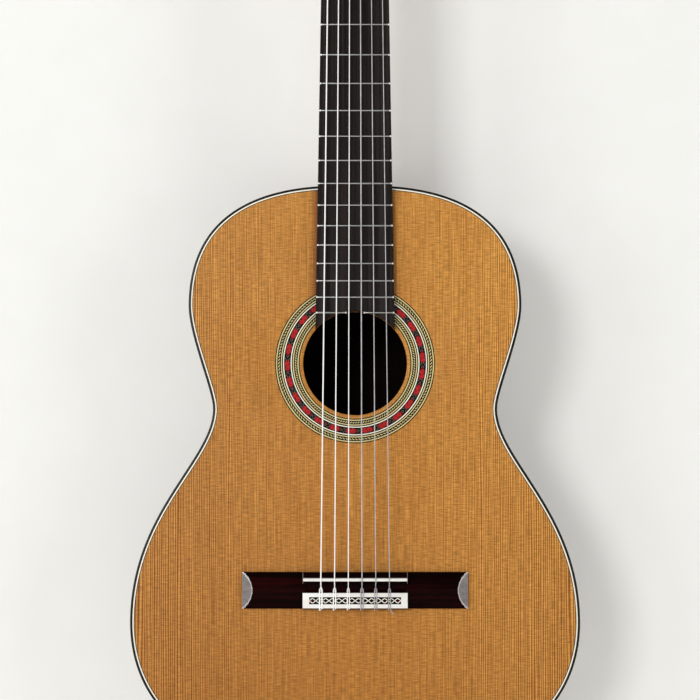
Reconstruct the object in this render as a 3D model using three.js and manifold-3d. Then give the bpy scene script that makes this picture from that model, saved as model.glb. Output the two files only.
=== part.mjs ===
// A classical guitar of 650 mm scale, built as an assembly of its separate pieces.
// Millimetres. +Z runs up along the neck, the soundboard faces -Y and +X is the treble side.
// The origin is the middle of the flat foot of the end graft, at the tail of the body.
import * as THREE from "three";
import { mergeVertices } from "three/addons/utils/BufferGeometryUtils.js";
import Module from "manifold-3d";

const wasm = await Module();
wasm.setup();

// ---------------------------------------------------------------- driving sizes
const SCALE = 650;
const NUT_Z = 812;
const JOINT_Z = 486.5;
const FRONT_Y = -50;
const TAIL_RIM_Y = 50;
const NECK_RIM_Y = 44;
const DOME = 4;
const SIDE_THICKNESS = 2.2;
const TOP_THICKNESS = 2.5;
const BACK_THICKNESS = 2.6;
const BINDING_HEIGHT = 5;
const GAP = 0.15;
const GRAFT_HALF_WIDTH = 12;
const HALF_SAMPLES = 38;

const HOLE_Z = 337.3;
const HOLE_RADIUS = 43.1;
const ROSETTE_INNER = 46;
const ROSETTE_OUTER = 66.5;
const ROSETTE_DEPTH = 0.9;
const ROUND_SIDES = 48;

const BOARD_THICKNESS = 6;
const BOARD_HALF_NUT = 26;
const BOARD_HALF_JOINT = 31;
const BOARD_END_Z = 366;
const FRET_COUNT = 19;
const FRET_HEIGHT = 1.1;
const NUT_LENGTH = 5;
const NUT_TOP_Y = -58.6;

const SADDLE_Z = 159.5;
const SADDLE_TOP_Y = -61.5;
const STRING_SPREAD_NUT = 42.5;
const STRING_SPREAD_SADDLE = 56;
const STRING_RADII = [0.55, 0.46, 0.38, 0.51, 0.41, 0.36];

const HEAD_TILT = THREE.MathUtils.degToRad(15);
const HEAD_Z = NUT_Z + NUT_LENGTH;
const HEAD_THICKNESS = 18;
const HEAD_HALF_WIDTH = 35;
const VENEER = 2.5;
const SLOT_X = 17.5;
const SLOT_WIDTH = 15;
const SLOT_START = 42;
const SLOT_END = 150;
const ROLLER_PLACES = [62, 97, 132];
const ROLLER_DEPTH = 9;
const ROLLER_RADIUS = 5;

const MODULE_MM = 0.8;
const TEETH = 15;
const PITCH_RADIUS = (MODULE_MM * TEETH) / 2;
const THREAD_PITCH = Math.PI * MODULE_MM;
const WORM_CORE = 1.9;
const WORM_TIP = 3.5;
const AXIS_DISTANCE = PITCH_RADIUS + 2.9;
const PLATE_THICKNESS = 1.2;
const GEAR_X = HEAD_HALF_WIDTH + GAP + PLATE_THICKNESS + 0.3 + WORM_TIP;

// ---------------------------------------------------------------- looks
const look = (color, roughness, metalness = 0) =>
  new THREE.MeshStandardMaterial({ color, roughness, metalness });
const CEDAR = look(0xba8547, 0.45);
const SPRUCE = look(0xd9bd8d, 0.7);
const ROSEWOOD = look(0x3a2019, 0.4);
const EBONY = look(0x201d1b, 0.5);
const MAHOGANY = look(0x7a4a2b, 0.5);
const BONE = look(0xefe9d8, 0.35);
const MOSAIC = look(0x7c4a36, 0.45);
const BRASS = look(0xc8a24e, 0.3, 1);
const STEEL = look(0xb9bbbd, 0.3, 1);
const PEARL = look(0xe9e2d2, 0.25);
const ROLLER_WHITE = look(0xf1eee6, 0.4);
const WOUND = look(0xc9c8c4, 0.35, 0.9);
const NYLON = look(0xd8d6ce, 0.3);

// ---------------------------------------------------------------- solids
function toSolid(geometry) {
  const bare = geometry.clone();
  bare.deleteAttribute("normal");
  bare.deleteAttribute("uv");
  const merged = mergeVertices(bare, 1e-4);
  const vertProperties = new Float32Array(merged.attributes.position.array);
  const triVerts = new Uint32Array(merged.index.array);
  return new wasm.Manifold(new wasm.Mesh({ numProp: 3, vertProperties, triVerts }));
}

function toGeometry(solid) {
  const mesh = solid.getMesh();
  const geometry = new THREE.BufferGeometry();
  geometry.setAttribute("position", new THREE.BufferAttribute(mesh.vertProperties, 3));
  geometry.setIndex(new THREE.BufferAttribute(mesh.triVerts, 1));
  return geometry;
}

const joined = (geometries) => geometries.map(toSolid).reduce((whole, next) => whole.add(next));

function combine(added, removed = []) {
  let solid = joined(added);
  for (const cutter of removed) solid = solid.subtract(toSolid(cutter));
  return toGeometry(solid);
}

function warp(geometry, place) {
  const positions = geometry.attributes.position;
  const point = new THREE.Vector3();
  for (let i = 0; i < positions.count; i += 1) {
    point.fromBufferAttribute(positions, i);
    place(point);
    positions.setXYZ(i, point.x, point.y, point.z);
  }
  return geometry;
}

// A box given by its two opposite corners.
function boxBetween(x0, x1, y0, y1, z0, z1) {
  const box = new THREE.BoxGeometry(x1 - x0, y1 - y0, z1 - z0);
  return box.translate((x0 + x1) / 2, (y0 + y1) / 2, (z0 + z1) / 2);
}

// A flat shape drawn in X and Z, filled from its front surface to its back surface. Each surface
// is a height or a function of x and z.
function slab(shape, front, back, curveSegments = 12) {
  const height = (surface, x, z) => (typeof surface === "function" ? surface(x, z) : surface);
  const geometry = new THREE.ExtrudeGeometry(shape, { depth: 1, bevelEnabled: false, curveSegments });
  return warp(geometry, (p) => {
    const z = p.y;
    p.y = p.z < 0.5 ? height(back, p.x, z) : height(front, p.x, z);
    p.z = z;
  });
}

// A profile drawn in Z and Y (as [z, y] points), extruded from x0 to x1.
function profileAlongX(profile, x0, x1) {
  const shape = new THREE.Shape(profile.map(([z, y]) => new THREE.Vector2(z, y)));
  const geometry = new THREE.ExtrudeGeometry(shape, { depth: x1 - x0, bevelEnabled: false });
  const zyToXyz = new THREE.Matrix4().set(0, 0, -1, x1, 0, 1, 0, 0, 1, 0, 0, 0, 0, 0, 0, 1);
  return geometry.applyMatrix4(zyToXyz);
}

function cylinderBetween(radius, from, to, sides) {
  const start = new THREE.Vector3(...from);
  const end = new THREE.Vector3(...to);
  const axis = end.clone().sub(start);
  const geometry = new THREE.CylinderGeometry(radius, radius, axis.length(), sides);
  const up = new THREE.Vector3(0, 1, 0);
  const turn = new THREE.Quaternion().setFromUnitVectors(up, axis.normalize());
  const middle = start.add(end).multiplyScalar(0.5);
  return geometry.applyQuaternion(turn).translate(middle.x, middle.y, middle.z);
}

// ---------------------------------------------------------------- body outline
const xz = (x, z) => new THREE.Vector2(x, z);
const TAIL = xz(0, 0.4);
const LOWER_BOUT = xz(185, 125.2);
const WAIST = xz(117.8, 299.6);
const UPPER_BOUT = xz(138.7, 386);
const NECK_END = xz(0, JOINT_Z);
const halfOutline = new THREE.CurvePath();
halfOutline.add(new THREE.CubicBezierCurve(TAIL, xz(126.7, 0.4), xz(185, 53.7), LOWER_BOUT));
halfOutline.add(new THREE.CubicBezierCurve(LOWER_BOUT, xz(185, 215.3), xz(117.8, 257.2), WAIST));
halfOutline.add(new THREE.CubicBezierCurve(WAIST, xz(117.8, 314.2), xz(138.7, 360.7), UPPER_BOUT));
halfOutline.add(new THREE.CubicBezierCurve(UPPER_BOUT, xz(138.7, 491.1), xz(29.8, JOINT_Z), NECK_END));

// Points of one side of the outline, moved inwards by `inset`, from the tail to the neck.
function edge(inset, side = 1, samples = HALF_SAMPLES) {
  const points = [];
  for (let i = 0; i <= samples; i += 1) {
    const point = halfOutline.getPoint(i / samples);
    const along = halfOutline.getTangent(i / samples);
    if (i === 0 || i === samples) along.set(i === 0 ? 1 : -1, 0);
    points.push(xz(side * (point.x - along.y * inset), point.y + along.x * inset));
  }
  return points;
}

function wholeEdge(inset) {
  const right = edge(inset);
  const left = edge(inset, -1).reverse();
  return right.concat(left.slice(1, -1));
}

// The outline of the treble side at one inset, from half-width `fromX` at the tail to half-width
// `toX` at the neck.
function run(inset, fromX, toX) {
  const points = edge(inset);
  const crossing = (a, b, x) => a.clone().lerp(b, (x - a.x) / (b.x - a.x));
  const first = points.findIndex((p) => p.x > fromX);
  const last = points.length - 1 - [...points].reverse().findIndex((p) => p.x > toX);
  const start = crossing(points[Math.max(0, first - 1)], points[first], fromX);
  const end = crossing(points[last], points[last + 1], toX);
  return [start, ...points.slice(first, last + 1), end];
}

// A strip along one side of the body, between two insets.
function strip(outer, inner, side, fromX, toX) {
  const loop = run(outer, fromX, toX).concat(run(inner, fromX, toX).reverse());
  return new THREE.Shape(loop.map((p) => xz(side * p.x, p.y)));
}

const rimY = (x, z) => TAIL_RIM_Y + ((NECK_RIM_Y - TAIL_RIM_Y) * z) / JOINT_Z;

// The back is domed: its height above the rim depends on how far a point is from the dome's
// middle, as a share of the distance to the edge.
const DOME_CENTRE = xz(0, 262);
const BACK_EDGE = wholeEdge(SIDE_THICKNESS + GAP);
function domeShare(x, z) {
  const ray = xz(x, z).sub(DOME_CENTRE);
  if (ray.length() < 1e-6) return 0;
  let share = 0;
  BACK_EDGE.forEach((a, i) => {
    const b = BACK_EDGE[(i + 1) % BACK_EDGE.length];
    const along = b.clone().sub(a);
    const start = a.clone().sub(DOME_CENTRE);
    const across = ray.x * along.y - ray.y * along.x;
    const reach = (start.x * along.y - start.y * along.x) / across;
    const where = (start.x * ray.y - start.y * ray.x) / across;
    if (reach > 0 && where >= 0 && where <= 1) share = 1 / reach;
  });
  return share;
}
const backOuterY = (x, z) => rimY(x, z) + DOME * (1 - Math.min(1, domeShare(x, z)) ** 2);
const backInnerY = (x, z) => backOuterY(x, z) - BACK_THICKNESS;

function backPlate() {
  const rings = [0, 0.4, 0.75, 1];
  const inner = rings.map((r) => xz(r, 0));
  const outer = rings.map((r) => xz(r, 1)).reverse();
  const segments = BACK_EDGE.length;
  const geometry = new THREE.LatheGeometry(inner.concat(outer).reverse(), segments);
  return warp(geometry, (p) => {
    const share = Math.hypot(p.x, p.z);
    const turn = Math.atan2(p.x, p.z) / (2 * Math.PI);
    const rim = BACK_EDGE[Math.round((turn + 1) * segments) % segments];
    const spot = DOME_CENTRE.clone().lerp(rim, share);
    const raised = DOME * (1 - share ** 2);
    const y = rimY(spot.x, spot.y) + raised - (p.y < 0.5 ? BACK_THICKNESS : 0);
    p.set(spot.x, y, spot.y);
  });
}

// ---------------------------------------------------------------- body pieces
const circle = (radius, z) => {
  const path = new THREE.Path();
  path.absarc(0, z, radius, 0, 2 * Math.PI, true);
  return path;
};

function ring(inner, outer, z, front, back) {
  const shape = new THREE.Shape();
  shape.absarc(0, z, outer, 0, 2 * Math.PI, false);
  shape.holes.push(circle(inner, z));
  return slab(shape, front, back, ROUND_SIDES / 2);
}

const TOP_INNER_Y = FRONT_Y + TOP_THICKNESS;
const BINDING_BACK_Y = FRONT_Y + BINDING_HEIGHT;
const NECK_WEB = 10.8;

function soundboard() {
  const shape = new THREE.Shape(wholeEdge(SIDE_THICKNESS + GAP));
  shape.holes.push(circle(HOLE_RADIUS, HOLE_Z));
  const board = slab(shape, FRONT_Y, TOP_INNER_Y, ROUND_SIDES / 2);
  const groove = ring(ROSETTE_INNER, ROSETTE_OUTER, HOLE_Z, FRONT_Y - 1, FRONT_Y + ROSETTE_DEPTH);
  return combine([board], [groove]);
}

function rosette() {
  const back = FRONT_Y + ROSETTE_DEPTH;
  return ring(ROSETTE_INNER + GAP, ROSETTE_OUTER - GAP, HOLE_Z, FRONT_Y, back);
}

function sideWall(side) {
  const shape = strip(0, SIDE_THICKNESS, side, GRAFT_HALF_WIDTH + GAP, NECK_WEB + 0.3);
  return slab(shape, BINDING_BACK_Y, (x, z) => rimY(x, z) - BINDING_HEIGHT - GAP);
}

// The two bindings are rings round the body, open where the neck's web passes.
function binding(front, back) {
  const loop = (inset) => {
    const right = run(inset, 0, NECK_WEB + 0.3);
    const left = right.map((p) => xz(-p.x, p.y)).reverse();
    return left.concat(right.slice(1));
  };
  const shape = new THREE.Shape(loop(0).concat(loop(SIDE_THICKNESS).reverse()));
  return slab(shape, front, back);
}

function lining(side, front, back, fromX) {
  const shape = strip(SIDE_THICKNESS + GAP, SIDE_THICKNESS + 6, side, fromX, 36);
  return slab(shape, front, back);
}

const halfWidthAt = (z, inset) => {
  const points = edge(inset);
  const i = points.findIndex((p, n) => n > 0 && points[n - 1].y <= z && p.y > z);
  const a = points[i - 1];
  const b = points[i];
  return a.x + ((b.x - a.x) * (z - a.y)) / (b.y - a.y);
};

// A bar of one section across the body, centred on height z.
const BAR_WIDTH = 7;
function barAcross(shape, z) {
  const geometry = new THREE.ExtrudeGeometry(shape, { depth: BAR_WIDTH, bevelEnabled: false });
  return geometry.translate(0, 0, z - BAR_WIDTH / 2);
}

// How far a bar may reach to each side before it would meet the linings.
function barReach(z, inset) {
  const tailSide = halfWidthAt(z - BAR_WIDTH / 2, inset);
  return Math.min(tailSide, halfWidthAt(z + BAR_WIDTH / 2, inset));
}

// A bar glued across the inside of the soundboard, its ends scooped down to the linings.
function harmonicBar(z) {
  const height = 15;
  const reach = barReach(z, 8.6);
  const scoop = 30;
  const shape = new THREE.Shape([
    xz(-reach, TOP_INNER_Y),
    xz(reach, TOP_INNER_Y),
    xz(reach, TOP_INNER_Y + 4),
    xz(reach - scoop, TOP_INNER_Y + height),
    xz(scoop - reach, TOP_INNER_Y + height),
    xz(-reach, TOP_INNER_Y + 4),
  ]);
  return barAcross(shape, z);
}

// A brace across the inside of the domed back.
function backBrace(z) {
  const height = 14;
  const reach = barReach(z, 9);
  const arch = [];
  for (let i = 0; i <= 10; i += 1) {
    const x = reach - (2 * reach * i) / 10;
    arch.push(xz(x, backInnerY(x, z) - 0.45));
  }
  const scoop = 28;
  const level = backInnerY(0, z) - height;
  const low = [
    xz(-reach, backInnerY(reach, z) - 4.5),
    xz(scoop - reach, level),
    xz(reach - scoop, level),
    xz(reach, backInnerY(reach, z) - 4.5),
  ];
  return barAcross(new THREE.Shape(arch.concat(low)), z);
}

// Seven fan struts with the patch under the bridge, and the two closing struts that their feet
// stand on.
function fanBracing() {
  const strut = (x0, z0, x1, z1, height) => {
    const length = Math.hypot(x1 - x0, z1 - z0);
    const bar = boxBetween(-3, 3, TOP_INNER_Y, TOP_INNER_Y + height, -length / 2, length / 2);
    return bar.rotateY(Math.atan2(x1 - x0, z1 - z0)).translate((x0 + x1) / 2, 0, (z0 + z1) / 2);
  };
  const pieces = [boxBetween(-92, 92, TOP_INNER_Y, TOP_INNER_Y + 1.8, 134, 166)];
  const closingEndX = 118;
  const footHeight = (x) => 28 + 0.4 * Math.abs(x);
  for (const x of [-closingEndX, closingEndX]) {
    pieces.push(strut(0, footHeight(0), x, footHeight(x), 4));
  }
  for (let k = -3; k <= 3; k += 1) {
    pieces.push(strut(14 * k, 262, 37 * k, footHeight(37 * k), 5));
  }
  return combine(pieces);
}

function tailBlock() {
  const half = 35;
  const shape = new THREE.Shape([xz(-half, 20), xz(-half, 4.5), xz(half, 4.5), xz(half, 20)]);
  return slab(shape, TOP_INNER_Y, (x, z) => rimY(x, z) - BACK_THICKNESS - GAP);
}

function endGraft() {
  const inner = 2.6;
  const shape = new THREE.Shape([
    xz(-GRAFT_HALF_WIDTH, 0),
    xz(GRAFT_HALF_WIDTH, 0),
    xz(GRAFT_HALF_WIDTH - 0.2, inner),
    xz(0.2 - GRAFT_HALF_WIDTH, inner),
  ]);
  return slab(shape, BINDING_BACK_Y + GAP, TAIL_RIM_Y - BINDING_HEIGHT - 2 * GAP);
}

// ---------------------------------------------------------------- neck
const boardHalf = (z) => {
  const share = (NUT_Z - z) / (NUT_Z - JOINT_Z);
  return BOARD_HALF_NUT + (BOARD_HALF_JOINT - BOARD_HALF_NUT) * share;
};

const HEEL_FLAT = 24;
const HEEL_SWEEP = 42;
const HEEL_BACK_Y = NECK_RIM_Y - 3;
const HEEL_HALF_WIDTH = 15;
const heelHalf = (height) => HEEL_HALF_WIDTH * Math.sqrt(1 - (Math.min(height, HEEL_FLAT) / 26) ** 2);

function neckDepth(height) {
  const shaft = 19 - (3.2 * height) / (HEAD_Z - JOINT_Z);
  const rise = THREE.MathUtils.clamp((height - HEEL_FLAT) / HEEL_SWEEP, 0, 1);
  return shaft + (HEEL_BACK_Y - FRONT_Y - shaft) * (1 - rise) ** 3.2;
}

// A D-shaped section, which turns into a wedge with a narrow flat back at the heel. `phi` runs
// from the treble edge of the front, round the back, to the bass edge.
function neckSection(phi, height) {
  const z = JOINT_Z + height;
  const half = boardHalf(Math.min(z, NUT_Z + 2));
  const c = Math.cos(phi);
  const s = Math.sin(phi);
  const swell = 1.12;
  const wedge = Math.min(1, swell * s);
  const corner = Math.sqrt(1 - 1 / swell ** 2);
  const prow = heelHalf(Math.max(0, height));
  const wedgeX = wedge < 1 ? Math.sign(c) * (half + (prow - half) * wedge) : (prow * c) / corner;
  const roundX = half * Math.sign(c) * Math.abs(c) ** 0.85;
  const heel = 1 - THREE.MathUtils.clamp((height - HEEL_FLAT) / 30, 0, 1);
  const x = roundX + (wedgeX - roundX) * heel;
  const y = FRONT_Y + neckDepth(height) * (s ** 0.8 + (wedge - s ** 0.8) * heel);
  return new THREE.Vector3(x, y, z);
}

function shaftAndHeel() {
  const stations = [-1.5, 8, 15, 20, 24, 27, 31, 36, 43, 52, 66, 140, 230, 300, 346];
  const steps = stations.length - 1;
  const around = 16;
  const corners = [];
  for (let i = 0; i < around; i += 1) {
    const turn = (2 * Math.PI * i) / around;
    corners.push(xz(Math.cos(turn), Math.sin(turn)));
  }
  const unit = new THREE.Shape(corners);
  const geometry = new THREE.ExtrudeGeometry(unit, { depth: steps, steps, bevelEnabled: false });
  return warp(geometry, (p) => {
    const turn = (Math.atan2(p.y, p.x) / (2 * Math.PI) + 1) % 1;
    const phi = (Math.PI * Math.round(turn * around)) / (around - 1);
    p.copy(neckSection(phi, stations[Math.round(p.z)]));
  });
}

// A block that fills one side of the slanted scarf plane between neck and headstock. The plane
// leans at 45 degrees through the line where the headstock's face meets the neck's.
function beyondScarf(direction) {
  const size = 160;
  const reach = direction * (size / 2 - 0.12) * Math.SQRT1_2;
  const block = new THREE.BoxGeometry(size, size, size).rotateX(Math.PI / 4);
  return block.translate(0, FRONT_Y + reach, HEAD_Z + reach);
}

// Neck, heel and the Spanish foot inside the body, in one piece of wood. A thin web joins heel
// and foot between the two slots that take the ends of the sides.
function neck() {
  const back = HEEL_BACK_Y;
  const blockTop = JOINT_Z - 4.3;
  const block = profileAlongX(
    [
      [456, TOP_INNER_Y],
      [456, 12],
      [430, back - 10],
      [430, back + 0.2],
      [blockTop, back],
      [blockTop, TOP_INNER_Y],
    ],
    -31,
    31,
  );
  const web = boxBetween(-NECK_WEB, NECK_WEB, TOP_INNER_Y, back, blockTop - 1, JOINT_Z + 1);
  const slots = [-1, 1].map((side) => {
    return slab(strip(-GAP, SIDE_THICKNESS + GAP, side, GRAFT_HALF_WIDTH, NECK_WEB), -60, 60);
  });
  return combine([shaftAndHeel(), block, web], [...slots, beyondScarf(1)]);
}

function heelCap() {
  const points = [];
  for (let i = 0; i <= 6; i += 1) {
    const height = GAP + (HEEL_FLAT - GAP) * (i / 6);
    points.push(xz(heelHalf(height), JOINT_Z + height));
  }
  const left = points.map((p) => xz(-p.x, p.y)).reverse();
  return slab(new THREE.Shape(points.concat(left)), HEEL_BACK_Y, NECK_RIM_Y);
}

// The ebony fingerboard, its end hollowed to the soundhole's circle, with its nineteen frets.
function fingerboard() {
  const wood = new THREE.Shape([
    xz(-boardHalf(BOARD_END_Z), BOARD_END_Z),
    xz(boardHalf(BOARD_END_Z), BOARD_END_Z),
    xz(BOARD_HALF_NUT, NUT_Z),
    xz(-BOARD_HALF_NUT, NUT_Z),
  ]);
  const topY = FRONT_Y - BOARD_THICKNESS;
  const pieces = [slab(wood, topY, FRONT_Y)];
  for (let n = 1; n <= FRET_COUNT; n += 1) {
    const z = NUT_Z - SCALE * (1 - 2 ** (-n / 12));
    const half = boardHalf(z) - 0.3;
    const crown = [
      [z - 1.1, topY + 0.5],
      [z + 1.1, topY + 0.5],
      [z + 1.1, topY - 0.3],
      [z + 0.5, topY - FRET_HEIGHT],
      [z - 0.5, topY - FRET_HEIGHT],
      [z - 1.1, topY - 0.3],
    ];
    pieces.push(profileAlongX(crown.reverse(), -half, half));
  }
  const hole = new THREE.CylinderGeometry(HOLE_RADIUS, HOLE_RADIUS, 30, ROUND_SIDES);
  return combine(pieces, [hole.translate(0, FRONT_Y, HOLE_Z)]);
}

const nut = () => boxBetween(-BOARD_HALF_NUT, BOARD_HALF_NUT, NUT_TOP_Y, FRONT_Y, NUT_Z, HEAD_Z);

// ---------------------------------------------------------------- bridge
const BRIDGE = { half: 92.75, middle: 43, tail: 135.45, head: 165.25, block: 149.3, cap: -59.5 };
const TIE_HOLE_Y = -54.2;
const TIE_BLOCK_Y = -58.2;
const SADDLE_THICKNESS = 3;

function bridge() {
  const { half, middle, tail, head, block } = BRIDGE;
  const slotTail = SADDLE_Z - SADDLE_THICKNESS / 2 - 0.1;
  const slotHead = SADDLE_Z + SADDLE_THICKNESS / 2 + 0.1;
  const centre = [
    [tail, FRONT_Y],
    [tail, TIE_BLOCK_Y],
    [block, TIE_BLOCK_Y],
    [block, -53],
    [slotTail - 1.6, -53],
    [slotTail - 1.6, -57.5],
    [slotTail, -58.6],
    [slotTail, -54.5],
    [slotHead, -54.5],
    [slotHead, -58.6],
    [head - 1.2, -58],
    [head, -56.6],
    [head, FRONT_Y],
  ];
  const wings = [
    [tail, FRONT_Y],
    [tail, -52.4],
    [tail + 6, -54],
    [head - 6, -54],
    [head, -52.4],
    [head, FRONT_Y],
  ];
  const holes = stringXs(STRING_SPREAD_SADDLE).map((x) => {
    return cylinderBetween(1, [x, TIE_HOLE_Y, tail - 5], [x, TIE_HOLE_Y, block + 2], 6);
  });
  const channel = boxBetween(-middle + 1.5, middle - 1.5, -54.2, -53, block, slotTail - 1.6);
  return combine(
    [profileAlongX(wings, -half, half), profileAlongX(centre, -middle, middle)],
    [...holes, channel],
  );
}

const saddle = () => {
  const half = SADDLE_THICKNESS / 2;
  return boxBetween(-42.5, 42.5, SADDLE_TOP_Y, -54.6, SADDLE_Z - half, SADDLE_Z + half);
};
const tieBlockCap = () => boxBetween(-42.9, 42.9, BRIDGE.cap, TIE_BLOCK_Y, 136.3, 148.8);

// ---------------------------------------------------------------- strings
// The six strings' places across the guitar, from string 1 (treble) to string 6 (bass).
function stringXs(spread) {
  return [0, 1, 2, 3, 4, 5].map((i) => spread / 2 - (spread * i) / 5);
}

// A route through chosen points, with one step of the sweep from each point to the next.
class Route extends THREE.Curve {
  constructor(points) {
    super();
    this.points = points;
  }

  getPoint(t, target = new THREE.Vector3()) {
    const place = t * (this.points.length - 1);
    const i = Math.min(this.points.length - 2, Math.floor(place + 1e-9));
    return target.lerpVectors(this.points[i], this.points[i + 1], place - i);
  }

  getPointAt(u, target) {
    return this.getPoint(u, target);
  }

  getTangentAt(u, target = new THREE.Vector3()) {
    const i = Math.round(u * (this.points.length - 1));
    const here = this.points[i];
    target.set(0, 0, 0);
    if (i > 0) target.add(here.clone().sub(this.points[i - 1]).normalize());
    if (i < this.points.length - 1) target.add(this.points[i + 1].clone().sub(here).normalize());
    return target.normalize();
  }
}

const HEAD_FRAME = new THREE.Matrix4()
  .makeRotationX(-HEAD_TILT)
  .setPosition(0, FRONT_Y, HEAD_Z);
const headPoint = (x, depth, along) => new THREE.Vector3(x, depth, along).applyMatrix4(HEAD_FRAME);

// One string: its tail, the knot round the tie block, the run over saddle and nut, and two turns
// round its roller.
function string(index) {
  const radius = STRING_RADII[5 - index];
  const x = stringXs(STRING_SPREAD_SADDLE)[index];
  const nutX = stringXs(STRING_SPREAD_NUT)[index];
  const side = Math.sign(x);
  const over = BRIDGE.cap - radius - 0.3;
  const apart = radius + 0.5;
  const { tail, block } = BRIDGE;
  const route = [
    [x + apart, over + 3.2, tail - 3.5 - 2 * radius],
    [x + apart, over + 0.6, tail - 1.2 - radius],
    [x + apart, over, tail + 1.5],
    [x + apart, over, block - 0.4],
    [x + apart, over + 2.4, block + 0.9 + radius],
    [x + 0.1, TIE_HOLE_Y + 0.1 + 0.3 * radius, block + 3.4],
    [x - apart, over + 2.4, block + 0.9 + radius],
    [x - apart, over, block - 0.4],
    [x - apart, over, tail + 1],
    [x - apart, over + 1, tail - 0.6 - radius],
    [x - apart * 0.6, TIE_HOLE_Y - 1.8, tail - 1.1 - radius],
    [x, TIE_HOLE_Y, tail - 0.6],
    [x, TIE_HOLE_Y, block + 0.6],
    [x, SADDLE_TOP_Y - radius - 0.12, SADDLE_Z - 1.4],
    [x, SADDLE_TOP_Y - radius - 0.12, SADDLE_Z + 1.4],
    [nutX, NUT_TOP_Y - radius - 0.12, NUT_Z],
    [nutX, NUT_TOP_Y - radius - 0.12, HEAD_Z],
  ].map((p) => new THREE.Vector3(...p));
  const along = ROLLER_PLACES[index < 3 ? index : 5 - index];
  const reach = ROLLER_RADIUS + radius + 0.3;
  const landing = [17, 16, 19][index < 3 ? index : 5 - index];
  const steps = 18;
  const turns = 2;
  for (let i = 0; i <= steps; i += 1) {
    const angle = (2 * Math.PI * turns * i) / steps - 0.25;
    const shift = ((2 * radius + 0.25) * turns * i) / steps;
    const depth = ROLLER_DEPTH - reach * Math.cos(angle);
    route.push(headPoint(side * (landing + shift), depth, along + reach * Math.sin(angle)));
  }
  const sides = 6;
  const section = new THREE.Shape();
  for (let i = 0; i < sides; i += 1) {
    const turn = (2 * Math.PI * i) / sides;
    const spot = xz(radius * Math.cos(turn), radius * Math.sin(turn));
    if (i === 0) section.moveTo(spot.x, spot.y);
    else section.lineTo(spot.x, spot.y);
  }
  const extrudePath = new Route(route);
  return new THREE.ExtrudeGeometry(section, { steps: route.length - 1, extrudePath });
}

// ---------------------------------------------------------------- headstock
// Everything below is drawn in the headstock's own frame: X across, Y into its thickness and Z
// along it from the nut.
function mirrored(path, divisions) {
  const right = path.getPoints(divisions);
  const left = right.filter((p) => p.x > 0.01).map((p) => xz(-p.x, p.y)).reverse();
  return new THREE.Shape(right.concat(left));
}

function headOutline(start) {
  const path = new THREE.Path();
  path.moveTo(start < 0 ? 26.2 : 26.6, start);
  path.bezierCurveTo(27, 16, HEAD_HALF_WIDTH, 20, HEAD_HALF_WIDTH, 38);
  path.lineTo(HEAD_HALF_WIDTH, 154);
  path.bezierCurveTo(HEAD_HALF_WIDTH, 162, 37.5, 170, 31, 176);
  path.quadraticCurveTo(20, 174, 17, 183);
  path.quadraticCurveTo(10, 190, 0, 191);
  const shape = mirrored(path, 5);
  for (const side of [-1, 1]) {
    const slot = new THREE.Path();
    const radius = SLOT_WIDTH / 2;
    slot.absarc(side * SLOT_X, SLOT_END - radius, radius, 0, Math.PI, false);
    slot.absarc(side * SLOT_X, SLOT_START + radius, radius, Math.PI, 2 * Math.PI, false);
    shape.holes.push(slot);
  }
  return shape;
}

// The ramps let the strings down into the slots.
const slotRamps = () =>
  [-1, 1].map((side) => {
    const wedge = profileAlongX(
      [
        [23, -VENEER - 1],
        [56, -VENEER - 1],
        [56, 10],
        [48, 10],
      ],
      -6,
      6,
    );
    return wedge.translate(side * SLOT_X, 0, 0);
  });

function headstock() {
  const bores = [];
  for (const side of [-1, 1]) {
    for (const along of ROLLER_PLACES) {
      const from = [side * 6.5, ROLLER_DEPTH, along];
      const to = [side * (HEAD_HALF_WIDTH + 3), ROLLER_DEPTH, along];
      bores.push(cylinderBetween(ROLLER_RADIUS + 0.3, from, to, 14));
    }
  }
  const wood = slab(headOutline(-16), 0, HEAD_THICKNESS, 5);
  const below = beyondScarf(-1).applyMatrix4(HEAD_FRAME.clone().invert());
  return combine([wood], [below, ...bores, ...slotRamps()]);
}

const headVeneer = () =>
  combine([slab(headOutline(0.3), -VENEER - GAP, -GAP, 5)], slotRamps());

const wormAlong = (along) => along - AXIS_DISTANCE;

// A brass plate on the side of the headstock, with a pair of lugs for each worm.
function machinePlate(side) {
  const inner = HEAD_HALF_WIDTH + GAP;
  const outer = inner + PLATE_THICKNESS;
  const ends = [ROLLER_PLACES[0] - 18, ROLLER_PLACES[2] + 12];
  const solids = [boxBetween(inner, outer, 0.6, HEAD_THICKNESS - 0.6, ...ends)];
  const holes = [];
  for (const along of ROLLER_PLACES) {
    const worm = wormAlong(along);
    for (const depth of [1, 15]) {
      solids.push(boxBetween(outer - 0.5, GEAR_X + 2.8, depth, depth + 2, worm - 3.4, worm + 3.4));
    }
    const atRoller = (x) => [x, ROLLER_DEPTH, along];
    holes.push(cylinderBetween(1.85, [GEAR_X, -1, worm], [GEAR_X, 20, worm], 10));
    holes.push(cylinderBetween(2.4, atRoller(inner - 1), atRoller(outer + 1), 10));
  }
  return turned(combine(solids, holes), side);
}

// Pieces are drawn on the treble side, and the bass side's are their mirror images. The worms
// aren't mirrored, because all six have a right-hand thread.
function turned(geometry, side) {
  if (side > 0) return geometry;
  const flipped = warp(geometry.clone(), (p) => p.setX(-p.x));
  const index = flipped.index;
  if (index) {
    for (let i = 0; i < index.count; i += 3) {
      const swap = index.getX(i + 1);
      index.setX(i + 1, index.getX(i + 2));
      index.setX(i + 2, swap);
    }
  }
  return flipped;
}

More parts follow.
